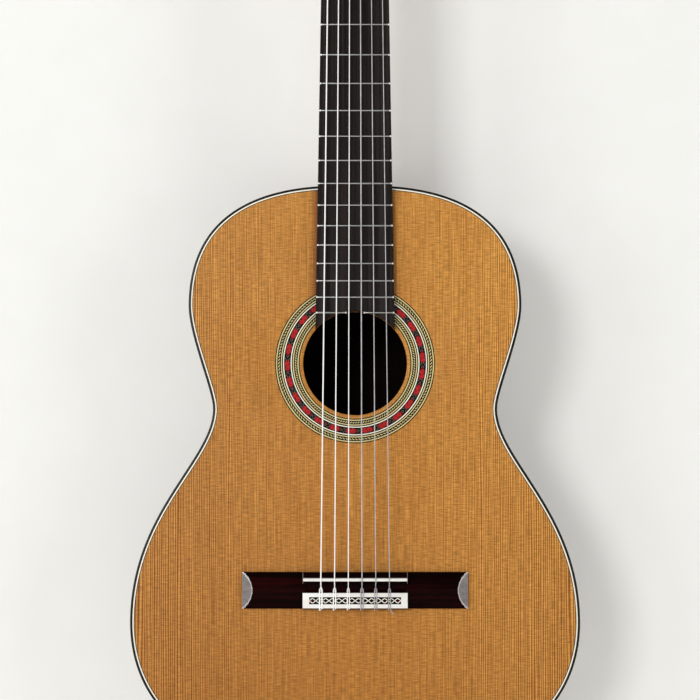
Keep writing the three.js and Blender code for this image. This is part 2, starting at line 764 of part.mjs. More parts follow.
function gear(side, along) {
  const points = [];
  const corner = (radius, turn) => {
    points.push([along - radius * Math.cos(turn), ROLLER_DEPTH + radius * Math.sin(turn)]);
  };
  const rootRadius = 5;
  const tipRadius = 6.6;
  for (let i = 0; i < TEETH; i += 1) {
    const middle = (2 * Math.PI * (i + 0.5)) / TEETH;
    corner(rootRadius, middle - 0.68 / rootRadius);
    corner(tipRadius, middle - 0.26 / tipRadius);
    corner(tipRadius, middle + 0.26 / tipRadius);
    corner(rootRadius, middle + 0.68 / rootRadius);
  }
  const wheel = profileAlongX(points, GEAR_X - 1.5, GEAR_X + 1.5);
  const plateOuter = HEAD_HALF_WIDTH + GAP + PLATE_THICKNESS;
  const at = (x) => [x, ROLLER_DEPTH, along];
  const hub = cylinderBetween(3.4, at(plateOuter + 0.3), at(GEAR_X), 10);
  const bore = cylinderBetween(2.2, at(30), at(50), 10);
  return turned(combine([wheel, hub], [bore]), side);
}

function roller(side, along) {
  const at = (x) => [x, ROLLER_DEPTH, along];
  const barrel = cylinderBetween(ROLLER_RADIUS, at(7), at(HEAD_HALF_WIDTH - 0.3), 14);
  const shaft = cylinderBetween(1.95, at(HEAD_HALF_WIDTH - 1), at(GEAR_X + 2.2), 10);
  return turned(combine([barrel, shaft]), side);
}

function worm(side, along) {
  const turns = 3;
  const rootHalf = 0.6;
  const tipHalf = 0.25;
  const section = new THREE.Shape([
    xz(WORM_CORE - 0.3, -rootHalf),
    xz(WORM_TIP, -tipHalf),
    xz(WORM_TIP, tipHalf),
    xz(WORM_CORE - 0.3, rootHalf),
  ]);
  const steps = 10 * turns;
  const thread = new THREE.ExtrudeGeometry(section, { depth: 1, steps, bevelEnabled: false });
  warp(thread, (p) => {
    const turn = (0.5 - p.z) * turns;
    const angle = 2 * Math.PI * turn;
    p.set(p.x * Math.sin(angle), p.y + THREAD_PITCH * turn, p.x * Math.cos(angle));
  });
  thread.translate(side * GEAR_X, ROLLER_DEPTH, along);
  const at = (depth) => [side * GEAR_X, depth, along];
  const core = cylinderBetween(WORM_CORE, at(3.3), at(14.7), 10);
  const shaft = cylinderBetween(1.5, at(0.8), at(26.5), 8);
  return combine([thread, core, shaft]);
}

function button(side, along) {
  const x = side * GEAR_X;
  const oval = new THREE.SphereGeometry(1, 10, 6).scale(4.6, 6.6, 9).translate(x, 27, along);
  return combine([oval], [cylinderBetween(1.8, [x, 15, along], [x, 26.8, along], 8)]);
}

// ---------------------------------------------------------------- assembly
const guitar = new THREE.Group();
guitar.name = "classical_guitar";
const head = new THREE.Group();
head.position.set(0, FRONT_Y, HEAD_Z);
head.rotation.x = -HEAD_TILT;
guitar.add(head);

function add(name, geometry, material, parent = guitar) {
  const mesh = new THREE.Mesh(geometry, material);
  mesh.name = name;
  parent.add(mesh);
}

const liningTopBack = TOP_INNER_Y + 14;
const backRimInner = (x, z) => rimY(x, z) - BACK_THICKNESS - GAP;
const backLiningFront = (x, z) => backRimInner(x, z) - 14;

add("soundboard", soundboard(), CEDAR);
add("rosette", rosette(), MOSAIC);
add("back", backPlate(), ROSEWOOD);
for (const [name, side] of [["bass", -1], ["treble", 1]]) {
  add(`side_${name}`, sideWall(side), ROSEWOOD);
  add(`top_lining_${name}`, lining(side, TOP_INNER_Y, liningTopBack, 37), MAHOGANY);
  add(`back_lining_${name}`, lining(side, backLiningFront, backRimInner, 37), MAHOGANY);
}
add("top_binding", binding(FRONT_Y, BINDING_BACK_Y), ROSEWOOD);
add("back_binding", binding((x, z) => rimY(x, z) - BINDING_HEIGHT, rimY), ROSEWOOD);
add("end_graft", endGraft(), ROSEWOOD);
add("tail_block", tailBlock(), MAHOGANY);
add("upper_harmonic_bar", harmonicBar(411), SPRUCE);
add("lower_harmonic_bar", harmonicBar(275), SPRUCE);
add("fan_bracing", fanBracing(), SPRUCE);
add("back_brace_upper", backBrace(392), SPRUCE);
add("back_brace_middle", backBrace(282), SPRUCE);
add("back_brace_lower", backBrace(142), SPRUCE);
add("neck", neck(), MAHOGANY);
add("heel_cap", heelCap(), ROSEWOOD);
add("fingerboard", fingerboard(), EBONY);
add("nut", nut(), BONE);
add("bridge", bridge(), ROSEWOOD);
add("saddle", saddle(), BONE);
add("tie_block_cap", tieBlockCap(), BONE);
for (let k = 1; k <= 6; k += 1) add(`string_${k}`, string(k - 1), k <= 3 ? NYLON : WOUND);

add("headstock", headstock(), MAHOGANY, head);
add("head_veneer", headVeneer(), ROSEWOOD, head);
add("machine_plate_bass", machinePlate(-1), BRASS, head);
add("machine_plate_treble", machinePlate(1), BRASS, head);
for (let k = 1; k <= 6; k += 1) {
  const side = k <= 3 ? 1 : -1;
  const along = ROLLER_PLACES[k <= 3 ? k - 1 : 6 - k];
  add(`roller_${k}`, roller(side, along), ROLLER_WHITE, head);
  add(`gear_${k}`, gear(side, along), BRASS, head);
  add(`worm_${k}`, worm(side, wormAlong(along)), STEEL, head);
  add(`button_${k}`, button(side, wormAlong(along)), PEARL, head);
}

export default guitar;
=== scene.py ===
"""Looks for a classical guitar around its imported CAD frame. Blender 4.5, metres.

+Z runs up along the neck, the soundboard faces -Y and +X is the treble side.
"""
from math import asin, copysign, cos, degrees, pi, radians, sin, sqrt

import bmesh
import bpy
from mathutils import Matrix, Vector
from mathutils.geometry import tessellate_polygon


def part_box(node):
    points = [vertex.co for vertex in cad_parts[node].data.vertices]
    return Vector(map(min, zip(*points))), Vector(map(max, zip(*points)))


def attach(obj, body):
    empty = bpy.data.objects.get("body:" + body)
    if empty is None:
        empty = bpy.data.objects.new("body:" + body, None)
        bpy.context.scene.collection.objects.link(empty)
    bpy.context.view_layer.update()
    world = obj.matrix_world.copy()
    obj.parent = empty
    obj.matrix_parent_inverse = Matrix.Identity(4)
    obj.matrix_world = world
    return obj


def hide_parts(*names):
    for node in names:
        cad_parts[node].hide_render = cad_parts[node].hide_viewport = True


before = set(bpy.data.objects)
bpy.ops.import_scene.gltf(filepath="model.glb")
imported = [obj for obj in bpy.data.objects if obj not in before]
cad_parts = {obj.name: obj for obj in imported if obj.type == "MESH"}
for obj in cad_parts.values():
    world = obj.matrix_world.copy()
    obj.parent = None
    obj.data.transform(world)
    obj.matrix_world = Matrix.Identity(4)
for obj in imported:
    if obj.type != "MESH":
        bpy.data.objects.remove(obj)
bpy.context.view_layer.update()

MM = 0.001


# ---- places, from the frame
def low(node):
    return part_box(node)[0]


def high(node):
    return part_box(node)[1]


TOP_Y = low("soundboard").y
TOP_BACK_Y = high("soundboard").y
JOINT_Z = low("heel_cap").z - 0.15 * MM
TAIL_RIM_Y = high("back_binding").y
NECK_RIM_Y = high("heel_cap").y
NUT_Z = high("fingerboard").z
NUT_TOP_Y = low("nut").y
BOARD_END_Z = low("fingerboard").z
BOARD_TOP_Y = TOP_Y - 6 * MM
BOARD_HALF_NUT = high("nut").x
BOARD_HALF_END = high("fingerboard").x
FRET_TOP_Y = low("fingerboard").y
SCALE = 650 * MM
FRETS = 19
HOLE_Z = (low("rosette").z + high("rosette").z) / 2
HOLE_RADIUS = 43.1 * MM
SIDE = 2.2 * MM
DOME = 3.88 * MM
DOME_Z = 262 * MM
BACK_THICKNESS = 2.6 * MM
HEAD_Z = NUT_Z + 5 * MM
HEAD_FRAME = Matrix.Translation((0, TOP_Y, HEAD_Z)) @ Matrix.Rotation(-radians(15), 4, "X")
HEAD_THICKNESS = 18 * MM
HEAD_HALF = 35 * MM
VENEER = 2.5 * MM
SLOT_X = 17.5 * MM
SLOT_HALF = 7.5 * MM
SLOT_ENDS = (42 * MM, 150 * MM)
BARRELS = (62 * MM, 97 * MM, 132 * MM)
BARREL_OF_STRING = (0, 1, 2, 2, 1, 0)
BARREL_DEPTH = 9 * MM
BARREL_RADIUS = 5 * MM
GEAR_X = 40.15 * MM
WORM_DROP = 8.9 * MM
STRING_RADII = [r * MM for r in (0.36, 0.41, 0.51, 0.38, 0.46, 0.55)]
LABELS = {-1: "bass", 1: "treble"}


# ---- materials
class Graph:
    """A procedural material, its textures placed by object coordinates in metres."""

    def __init__(self, name, roughness=0.5, metallic=0.0, coat=0.0, coat_roughness=0.1, specular=0.5):
        self.material = bpy.data.materials.new(name)
        self.material.use_nodes = True
        self.tree = self.material.node_tree
        self.shader = self.tree.nodes["Principled BSDF"]
        for socket, value in (("Roughness", roughness), ("Metallic", metallic), ("Coat Weight", coat),
                              ("Coat Roughness", coat_roughness), ("Specular IOR Level", specular)):
            self.shader.inputs[socket].default_value = value
        self.coords = self.node("TexCoord").outputs["Object"]

    def feed(self, socket, value):
        if isinstance(value, bpy.types.NodeSocket):
            self.tree.links.new(value, socket)
        else:
            socket.default_value = value

    def node(self, kind, inputs=(), **settings):
        made = self.tree.nodes.new("ShaderNode" + kind)
        for key, value in settings.items():
            setattr(made, key, value)
        for key, value in dict(inputs).items():
            self.feed(made.inputs[key], value)
        return made

    def noise(self, vector, detail=3.0, roughness=0.5, distortion=0.0):
        inputs = {"Vector": vector, "Scale": 1.0, "Detail": detail, "Roughness": roughness,
                  "Distortion": distortion}
        return self.node("TexNoise", inputs).outputs["Fac"]

    def speckle(self, *scale, place=None, **rest):
        mapped = self.node("Mapping", {"Vector": place or self.coords, "Scale": scale})
        return self.noise(mapped.outputs[0], **rest)

    def ramp(self, value, *stops):
        made = self.node("ValToRGB", {"Fac": value})
        elements = made.color_ramp.elements
        while len(elements) < len(stops):
            elements.new(0.5)
        for element, (place, color) in zip(elements, stops):
            element.position = place
            element.color = (*color, 1)
        return made.outputs["Color"]

    def tinted(self, base, tint, share=1.0):
        """The base colour multiplied by a tint, as far as `share` says."""
        tint = tint if isinstance(tint, bpy.types.NodeSocket) else (*tint, 1)
        inputs = {"Factor": share, 6: base, 7: tint}
        return self.node("Mix", inputs, data_type="RGBA", blend_type="MULTIPLY").outputs[2]

    def calc(self, operation, *values):
        return self.node("Math", enumerate(values), operation=operation).outputs[0]

    def plus(self, first, second):
        return self.calc("ADD", first, second)

    def times(self, first, second):
        return self.calc("MULTIPLY", first, second)

    def axes(self):
        return self.node("SeparateXYZ", {0: self.coords}).outputs

    def joined(self, *axes):
        return self.node("CombineXYZ", enumerate(axes)).outputs[0]

    def color(self, value):
        self.feed(self.shader.inputs["Base Color"], value)

    def rough(self, value, least, most):
        made = self.node("MapRange", {"Value": value, "To Min": least, "To Max": most})
        self.feed(self.shader.inputs["Roughness"], made.outputs[0])

    def bump(self, height, depth, strength=1.0):
        made = self.node("Bump", {"Height": height, "Distance": depth, "Strength": strength})
        self.feed(self.shader.inputs["Normal"], made.outputs[0])

    def glow(self, color, strength):
        self.shader.inputs["Emission Color"].default_value = (*color, 1)
        self.shader.inputs["Emission Strength"].default_value = strength


def srgb(r, g, b):
    """A colour given as screen values from 0 to 255, made linear for the shader."""
    channel = [c / 255 for c in (r, g, b)]
    return tuple(c / 12.92 if c <= 0.04045 else ((c + 0.055) / 1.055) ** 2.4 for c in channel)


def cedar():
    """Quarter-sawn cedar: fine upright grain, wider at the low outer edges, crossed by faint silk.
    Painted light makes it paler towards the neck and the treble side and darker towards the tail and
    the bass side, and a reddish painted shade lies along the fingerboard where its shadow falls."""
    g = Graph("cedar_top", coat=0.08, coat_roughness=0.3, specular=0.25)
    x, _, z = g.axes()
    half = g.calc("ABSOLUTE", x)

    def figure(across, dense_x, dense_z, **rest):
        return g.noise(g.joined(g.times(across, dense_x), 0.0, g.times(z, dense_z)), **rest)

    wander = g.speckle(5, 0, 1.6, detail=2)
    uneven = figure(half, 130, 2)
    years = g.times(g.calc("ARCTANGENT", g.times(half, 6.5)), 171)
    years = g.plus(years, g.times(g.plus(wander, uneven), 3.2))
    ring = g.calc("SINE", g.times(years, 2 * pi))
    blotch = figure(half, 330, 11, detail=4, roughness=0.7)
    strong = g.plus(g.times(half, 1.1), 0.14)
    late_wood = g.plus(g.plus(g.times(ring, strong), g.times(blotch, 0.46)), 0.27)
    fibre = figure(x, 1500, 34)
    silk = figure(x, 150, 950)
    broad = g.speckle(14, 0, 1.0, detail=2)
    # painted light: a slope of brightness, paler towards the neck and treble side, darker towards the tail
    # and bass side
    painted_light_slope = g.plus(g.plus(g.times(x, 1.2), g.times(z, 1.4)), 0.15)
    base = g.ramp(late_wood, (0.26, srgb(150, 86, 28)), (0.42, srgb(184, 119, 46)),
                  (0.58, srgb(202, 141, 61)), (0.74, srgb(215, 157, 76)))
    for value, *stops in (
        (fibre, (0.3, (0.72, 0.68, 0.6)), (0.5, (1.0, 1.0, 1.0)), (0.7, (1.16, 1.17, 1.2))),
        (silk, (0.32, (0.72, 0.69, 0.63)), (0.66, (1.2, 1.21, 1.24))),
        (broad, (0.3, (0.95, 0.93, 0.91)), (0.7, (1.03, 1.03, 1.03))),
        (painted_light_slope, (0.0, (0.865, 0.79, 0.69)), (1.0, (1.22, 1.29, 1.36))),
    ):
        base = g.tinted(base, g.ramp(value, *stops))
    # painted shade: a reddish darkening within 6 mm of the fingerboard's edges, where its shadow falls,
    # stronger on the bass side
    board_edge = g.plus(g.times(z, -0.01545), 0.03856)
    away = g.calc("SUBTRACT", half, board_edge)
    shade = g.calc("SUBTRACT", 1.0, g.times(away, 1 / 0.006))
    above = g.times(g.calc("SUBTRACT", z, BOARD_END_Z - 0.004), 1 / 0.02)
    for made in (shade, above):
        made.node.use_clamp = True
    share = g.calc("SUBTRACT", 0.72, g.times(g.calc("SIGN", x), 0.3))
    shade = g.times(g.times(shade, above), share)
    g.color(g.tinted(base, (0.56, 0.38, 0.28), shade))
    g.rough(silk, 0.4, 0.55)
    g.bump(g.plus(late_wood, g.times(fibre, 0.5)), 0.00005, 0.4)
    return g.material


def wood(name, dark, middle, light, grain, roughness, pores=0.5, streak=0.3, coat=0.0, book=False,
         specular=0.3, coat_roughness=0.2, fade=None):
    """Long-grained wood: bands of colour along its grain, dark pores and a thin varnish. `fade`
    holds a low place, a high place and the tint there, to darken the colour on its way up."""
    g = Graph(name, coat=coat, coat_roughness=coat_roughness, specular=specular)
    x, y, z = g.axes()
    place = g.joined(g.calc("ABSOLUTE", x), y, z) if book else g.coords

    wander = g.speckle(*(s * 0.12 for s in grain), place=place, detail=2)
    bands = g.speckle(*grain, place=place, detail=5, roughness=0.6, distortion=0.6)
    broad = g.speckle(*(s * 0.22 for s in grain), place=place, detail=2, distortion=1.2)
    pore = g.speckle(*(s * 14 if s > 20 else s * 18 for s in grain), place=place, detail=2)
    tone = g.plus(g.times(bands, 1 - streak), g.times(broad, streak))
    base = g.ramp(tone, (0.34, srgb(*dark)), (0.5, srgb(*middle)), (0.66, srgb(*light)))
    base = g.tinted(base, g.ramp(pore, (0.36, (0.35, 0.33, 0.32)), (0.46, (1, 1, 1))), pores)
    base = g.tinted(base, g.ramp(wander, (0.3, (0.9, 0.88, 0.86)), (0.7, (1.06, 1.05, 1.04))))
    if fade:
        start, end, tint = fade
        up = g.times(g.calc("SUBTRACT", z, start), 1 / (end - start))
        base = g.tinted(base, g.ramp(up, (0.0, (1, 1, 1)), (1.0, tint)))
    g.color(base)
    g.rough(pore, *roughness)
    g.bump(g.plus(pore, g.times(bands, 0.3)), 0.00008, 0.5)
    return g.material


def solid_inlay(name, color, vary=0.12):
    """A dyed strip of wood, with faint fibres and an uneven stain."""
    g = Graph(name, coat=0.0, specular=0.1)
    fibre = g.speckle(1800, 1800, 1800, detail=2)
    stain = g.speckle(160, 160, 160, detail=2)
    less = tuple(c * (1 - 2.2 * vary) for c in srgb(*color))
    more = tuple(min(1, c * (1 + 1.6 * vary)) for c in srgb(*color))
    g.color(g.ramp(g.plus(g.times(fibre, 0.6), g.times(stain, 0.4)), (0.35, less), (0.65, more)))
    g.rough(fibre, 0.35, 0.5)
    g.bump(fibre, 0.00002, 0.4)
    return g.material


def metal(name, color, roughness, brushed, wear=0.08, metallic=1.0):
    """Brushed metal, a little smudged."""
    g = Graph(name, metallic=metallic)
    brush = g.speckle(*brushed, detail=2)
    smudge = g.speckle(60, 60, 60)
    g.color(g.ramp(smudge, (0.3, tuple(c * (1 - wear * 2) for c in color)), (0.7, color)))
    g.rough(g.plus(g.times(brush, 0.5), g.times(smudge, 0.5)), roughness - 0.12, roughness + 0.12)
    g.bump(brush, 0.00001, 0.3)
    return g.material


def bone():
    g = Graph("bone", coat=0.2, coat_roughness=0.15)
    pores = g.speckle(900, 900, 900)
    clouds = g.speckle(90, 200, 200)
    base = g.ramp(clouds, (0.3, srgb(248, 246, 238)), (0.7, srgb(255, 255, 252)))
    specks = g.ramp(pores, (0.30, (0.82, 0.78, 0.70)), (0.40, (1, 1, 1)))
    g.color(g.tinted(base, specks, 0.5))
    g.shader.inputs["Subsurface Weight"].default_value = 0.08
    g.shader.inputs["Subsurface Radius"].default_value = (0.002, 0.0012, 0.0008)
    g.rough(clouds, 0.22, 0.38)
    g.bump(pores, 0.00002, 0.3)
    return g.material


def pearl():
    g = Graph("pearl_button", coat=0.7, coat_roughness=0.05)
    swirl = g.speckle(140, 140, 140, distortion=2.5)
    cloud = g.speckle(420, 420, 420, distortion=1.5)
    base = g.ramp(swirl, (0.3, srgb(205, 198, 182)), (0.5, srgb(240, 236, 224)),
                  (0.7, srgb(222, 224, 222)))
    g.color(g.tinted(base, g.ramp(cloud, (0.3, (0.85, 0.82, 0.78)), (0.7, (1, 1, 1))), 0.3))
    g.rough(cloud, 0.12, 0.28)
    g.bump(swirl, 0.00002, 0.2)
    return g.material


def nylon():
    g = Graph("nylon_string", coat=0.3, coat_roughness=0.1)
    haze = g.speckle(300, 300, 120, detail=2)
    g.color(g.ramp(haze, (0.3, srgb(178, 175, 178)), (0.7, srgb(206, 203, 206))))
    g.rough(haze, 0.16, 0.3)
    g.bump(haze, 0.00001, 0.2)
    return g.material


def wound():
    """Silver-plated wire wound round a core: close rings along the string's length."""
    g = Graph("wound_string", metallic=0.15, roughness=0.3, coat=0.7, coat_roughness=0.3)
    along = g.node("SeparateXYZ", {0: g.node("TexCoord").outputs["UV"]}).outputs[0]
    ridge = g.calc("SINE", g.times(along, 2 * pi / 0.00032))
    tarnish = g.speckle(80, 80, 30)
    base = g.ramp(tarnish, (0.3, srgb(250, 249, 246)), (0.7, srgb(255, 255, 255)))
    groove = g.ramp(g.calc("MULTIPLY_ADD", ridge, 0.5, 0.5), (0.0, (0.88, 0.87, 0.85)), (0.5, (1, 1, 1)))
    g.color(g.tinted(base, groove, 0.8))
    # painted sheen: the wound strings glow faintly to stand in for their shine
    g.glow((1, 0.99, 0.97), 0.24)
    g.rough(tarnish, 0.24, 0.4)
    g.bump(ridge, 0.00003, 0.6)
    return g.material


def stage_paint():
    """Pale studio paper. The side that faces away from the object lets light and views pass."""
    g = Graph("studio_paper", roughness=0.9, specular=0.1)
    fibre = g.speckle(40, 40, 40)
    g.color(g.ramp(fibre, (0.3, srgb(229, 229, 226)), (0.7, srgb(232, 232, 229))))
    g.bump(fibre, 0.00005, 0.1)
    g.glow(srgb(244, 243, 238), 0.24)
    clear = g.node("BsdfTransparent").outputs[0]
    away = g.node("NewGeometry").outputs["Backfacing"]
    blend = g.node("MixShader", {0: away, 1: g.shader.outputs[0], 2: clear})
    g.feed(g.tree.nodes["Material Output"].inputs["Surface"], blend.outputs[0])
    return g.material


CEDAR = cedar()
SPRUCE = wood("spruce_brace", (168, 132, 84), (206, 173, 122), (222, 194, 148),
              (260, 260, 260), (0.55, 0.7), 0.15)
LINING = wood("lining_wood", (122, 84, 50), (156, 112, 72), (176, 132, 90),
              (200, 60, 60), (0.5, 0.7), 0.35)
ROSEWOOD = wood("back_rosewood", (40, 18, 11), (84, 42, 25), (124, 68, 40),
                (95, 95, 2.4), (0.22, 0.4), 0.7, 0.5, coat=0.6, book=True)
SIDE_ROSEWOOD = wood("side_rosewood", (40, 18, 11), (82, 41, 25), (120, 66, 39),
                     (3, 95, 3), (0.22, 0.4), 0.7, 0.5, coat=0.6)
DARK_ROSEWOOD = wood("bridge_rosewood", (4, 0, 0), (15, 0, 0), (42, 4, 3),
                     (4, 160, 160), (0.3, 0.42), 0.6, 0.35, 0.05, specular=0.02, coat_roughness=0.08)
# painted reflection: the bridge's hollow-cut faces in light grey, and their rims in near white as a painted
# highlight
PAINTED_FACET_SHEEN = wood("bridge_end_facet_painted_sheen", (98, 92, 92), (124, 117, 117), (140, 133, 132),
             (60, 160, 160), (0.3, 0.42), 0.3, 0.35, coat=1.0)
PAINTED_RIM_GLINT = wood("bridge_facet_rim_painted_glint", (176, 170, 170), (208, 204, 204), (228, 226, 226),
                 (60, 160, 160), (0.3, 0.4), 0.2, coat=1.0)
BINDING = wood("binding_rosewood", (16, 10, 8), (28, 18, 14), (48, 31, 22),
               (60, 60, 60), (0.3, 0.45), coat=0.25, specular=0.12)
# the ebony's colour is darker towards the nut
EBONY = wood("ebony", (21, 18, 17), (35, 30, 28), (54, 47, 44),
             (420, 420, 5), (0.5, 0.66), 0.55, 0.25, specular=0.08,
             fade=(BOARD_END_Z, NUT_Z, (0.84, 0.80, 0.80)))
# painted shade: the inner faces of the sides and back are near black, standing in for the darkness inside the
# body
INSIDE_PAINTED_SHADE = wood("inside_rosewood_painted_shade", (9, 5, 4), (17, 10, 7), (26, 15, 11),
              (95, 95, 2.4), (0.7, 0.9), specular=0.05)
CEDRO = wood("neck_cedro", (92, 50, 28), (128, 74, 42), (154, 95, 57),
             (160, 160, 4), (0.3, 0.46), 0.6, coat=0.35)
CREAM = solid_inlay("cream_line", (222, 200, 148), 0.08)
PURFLING = solid_inlay("white_purfling", (255, 252, 238), 0.02)
WHITE_LINE = solid_inlay("white_line", (255, 250, 232), 0.03)
BROWN_LINE = solid_inlay("brown_line", (48, 28, 16), 0.1)
OLIVE = solid_inlay("olive_line", (226, 210, 150), 0.1)
BLACK_LINE = solid_inlay("black_line", (7, 5, 4), 0.1)
RED_TILE = solid_inlay("red_tile", (192, 40, 42), 0.1)
DARK_RED_TILE = solid_inlay("dark_red_tile", (104, 22, 22), 0.1)
GREY_TILE = solid_inlay("grey_tile", (104, 88, 78), 0.1)
BARREL_WHITE = solid_inlay("barrel_white", (236, 232, 220), 0.03)
BONE = bone()
PEARL = pearl()
NYLON = nylon()
WOUND = wound()
# painted highlight: the fret ends are flat white, standing in for their glints
FRET_END_PAINTED_GLINT = metal("fret_end_painted_glint", (1.0, 1.0, 0.99), 0.4, (900, 900, 900), 0.02, metallic=0.0)
FRET_SILVER = metal("fret_silver", (0.70, 0.70, 0.69), 0.26, (4, 3000, 3000))
BRASS = metal("brass", srgb(214, 176, 92), 0.24, (3000, 60, 60))
STEEL = metal("steel", (0.62, 0.62, 0.63), 0.26, (2000, 2000, 60))


# ---- mesh making
def turn_outwards(mesh, merge=0.0):
    work = bmesh.new()
    work.from_mesh(mesh)
    if merge:
        bmesh.ops.remove_doubles(work, verts=work.verts, dist=merge)
    bmesh.ops.recalc_face_normals(work, faces=work.faces)
    work.to_mesh(mesh)
    work.free()


def linked(name, data):
    obj = bpy.data.objects.new(name, data)
    bpy.context.scene.collection.objects.link(obj)
    return obj


def settle(obj, node, body="body", angle=35):
    """Hands a finished object to the frame, smooth except over edges sharper than `angle`."""
    turn_outwards(obj.data)
    obj.data.shade_smooth()
    obj.data.set_sharp_from_angle(angle=radians(angle))
    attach(obj, body)
    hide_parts(node)


def drawn(name, shape, materials):
    verts, faces = shape
    mesh = bpy.data.meshes.new(name)
    mesh.from_pydata([tuple(v) for v in verts], [], faces)
    for material in materials:
        mesh.materials.append(material)
    return linked(name, mesh)


def loose(name, shape, *materials):
    """An object that isn't handed to the frame yet: a cutter, or a piece still to be cut."""
    obj = drawn(name, shape, materials)
    turn_outwards(obj.data)
    return obj


def piece(name, shape, materials, node, body="body", angle=35, tints=None, uvs=None):
    """A finished piece. `tints` picks each face's material, and `uvs` gives each point its place."""
    obj = drawn(name, shape, materials if isinstance(materials, list) else [materials])
    if tints:
        obj.data.polygons.foreach_set("material_index", tints)
    if uvs:
        layer = obj.data.uv_layers.new(name="UVMap")
        for loop in obj.data.loops:
            layer.data[loop.index].uv = uvs[loop.vertex_index]
    settle(obj, node, body, angle)


def loft(rows, round_again=False, caps=True):
    """Vertices and faces of a skin over closed rows of points. `round_again` joins the last row to
    the first."""
    count = len(rows[0])
    verts = [p for row in rows for p in row]
    faces = []
    for i in range(len(rows) if round_again else len(rows) - 1):
        here, there = i * count, ((i + 1) % len(rows)) * count
        for j in range(count):
            k = (j + 1) % count
            faces.append((here + j, here + k, there + k, there + j))
    if caps and not round_again:
        faces.append(tuple(range(count)))
        faces.append(tuple(reversed(range(len(verts) - count, len(verts)))))
    return verts, faces


def arc(centre, radius, start, end, steps):
    """Points of an arc in a plane, as (u, v) pairs, its angles in degrees."""
    turns = [radians(start + (end - start) * i / steps) for i in range(steps + 1)]
    return [(centre[0] + radius * cos(t), centre[1] + radius * sin(t)) for t in turns]


def quarter(steps):
    return [pi / 2 * i / steps for i in range(steps + 1)]


def rounded(width, height, radius, steps):
    """A rounded rectangle about the origin, as (u, v) pairs."""
    u, v = width / 2 - radius, height / 2 - radius
    corners = [((u, v), 0), ((-u, v), 90), ((-u, -v), 180), ((u, -v), 270)]
    return [p for centre, start in corners for p in arc(centre, radius, start, start + 90, steps)]


def block(name, lo, hi, material, node, radius):
    """A block between two corners, its edges rounded."""
    work = bmesh.new()
    bmesh.ops.create_cube(work, size=1)
    lo, hi = Vector(lo), Vector(hi)
    for v in work.verts:
        v.co = (lo + hi) / 2 + v.co * (hi - lo)
    bmesh.ops.bevel(work, geom=work.edges, offset=radius, segments=3, affect="EDGES", profile=0.5)
    mesh = bpy.data.meshes.new(name)
    work.to_mesh(mesh)
    work.free()
    mesh.materials.append(material)
    obj = linked(name, mesh)
    settle(obj, node)
    return obj


def plate(name, loops, y0, y1, bevel, material):
    """A flat piece with holes, drawn by loops of (x, z) points, with rounded edges. It isn't handed
    to the frame yet."""
    curve = bpy.data.curves.new(name, "CURVE")
    curve.dimensions = "2D"
    curve.fill_mode = "BOTH"
    curve.extrude = (y1 - y0) / 2 - bevel
    curve.bevel_depth = bevel
    curve.bevel_resolution = 2
    curve.offset = -bevel
    for loop in loops:
        spline = curve.splines.new("POLY")
        spline.points.add(len(loop) - 1)
        for point, (x, z) in zip(spline.points, loop):
            point.co = (x, z, 0, 1)
        spline.use_cyclic_u = True
    holder = linked(name + "_curve", curve)
    mesh = evaluated_mesh(holder)
    bpy.data.objects.remove(holder)
    mesh.transform(Matrix.Translation((0, (y0 + y1) / 2, 0)) @ Matrix.Rotation(pi / 2, 4, "X"))
    mesh.materials.clear()
    mesh.materials.append(material)
    turn_outwards(mesh, merge=1e-6)
    return linked(name, mesh)


def evaluated_mesh(obj):
    return bpy.data.meshes.new_from_object(obj.evaluated_get(bpy.context.evaluated_depsgraph_get()))


def carve(obj, cutters, operation="DIFFERENCE"):
    """Cuts other objects out of one, and removes them."""
    for cutter in cutters:
        step = obj.modifiers.new("cut", "BOOLEAN")
        step.operation = operation
        step.solver = "EXACT"
        step.object = cutter
        mesh = evaluated_mesh(obj)
        obj.modifiers.clear()
        obj.data = mesh
        bpy.data.objects.remove(cutter)


def lathe(profile, start, axis, steps=48):
    """A turned shape: (distance along the axis, radius) pairs in mm, from `start` along `axis`."""
    axis = Vector(axis).normalized()
    side = axis.orthogonal().normalized()
    other = axis.cross(side)
    turns = [2 * pi * i / steps for i in range(steps)]
    return loft([[Vector(start) + axis * along * MM + (side * cos(t) + other * sin(t)) * radius * MM
                  for t in turns] for along, radius in profile])


def in_head(shape):
    """A shape drawn in the headstock's own frame, moved to its place."""
    verts, faces = shape
    return [HEAD_FRAME @ Vector(v) for v in verts], faces


def smooth_route(points, step):
    """Points along a Catmull-Rom curve through the given ones, about `step` apart."""
    points = [Vector(p) for p in points]
    padded = [2 * points[0] - points[1], *points, 2 * points[-1] - points[-2]]
    route = []
    for a, b, c, d in zip(padded, padded[1:], padded[2:], padded[3:]):
        count = max(1, min(24, round((c - b).length / step)))
        for i in range(count):
            t = i / count
            route.append(0.5 * (2 * b + (c - a) * t + (2 * a - 5 * b + 4 * c - d) * t * t
                                + (3 * b - a - 3 * c + d) * t ** 3))
    return route + [points[-1]]


def tube(name, route, radius, material, node, sides=12):
    """A round cord along a route. Its UV runs along the length in metres."""
    rows, uvs, normal, length = [], [], None, 0.0
    turns = [2 * pi * j / sides for j in range(sides)]
    for i, point in enumerate(route):
        ahead = (route[min(i + 1, len(route) - 1)] - route[max(i - 1, 0)]).normalized()
        normal = normal or ahead.orthogonal()
        normal = (normal - ahead * normal.dot(ahead)).normalized()
        other = ahead.cross(normal)
        length += (point - route[max(i - 1, 0)]).length
        rows.append([point + (normal * cos(t) + other * sin(t)) * radius for t in turns])
        uvs += [(length, j / sides) for j in range(sides)]
    piece(name, loft(rows), material, node, angle=60, uvs=uvs)


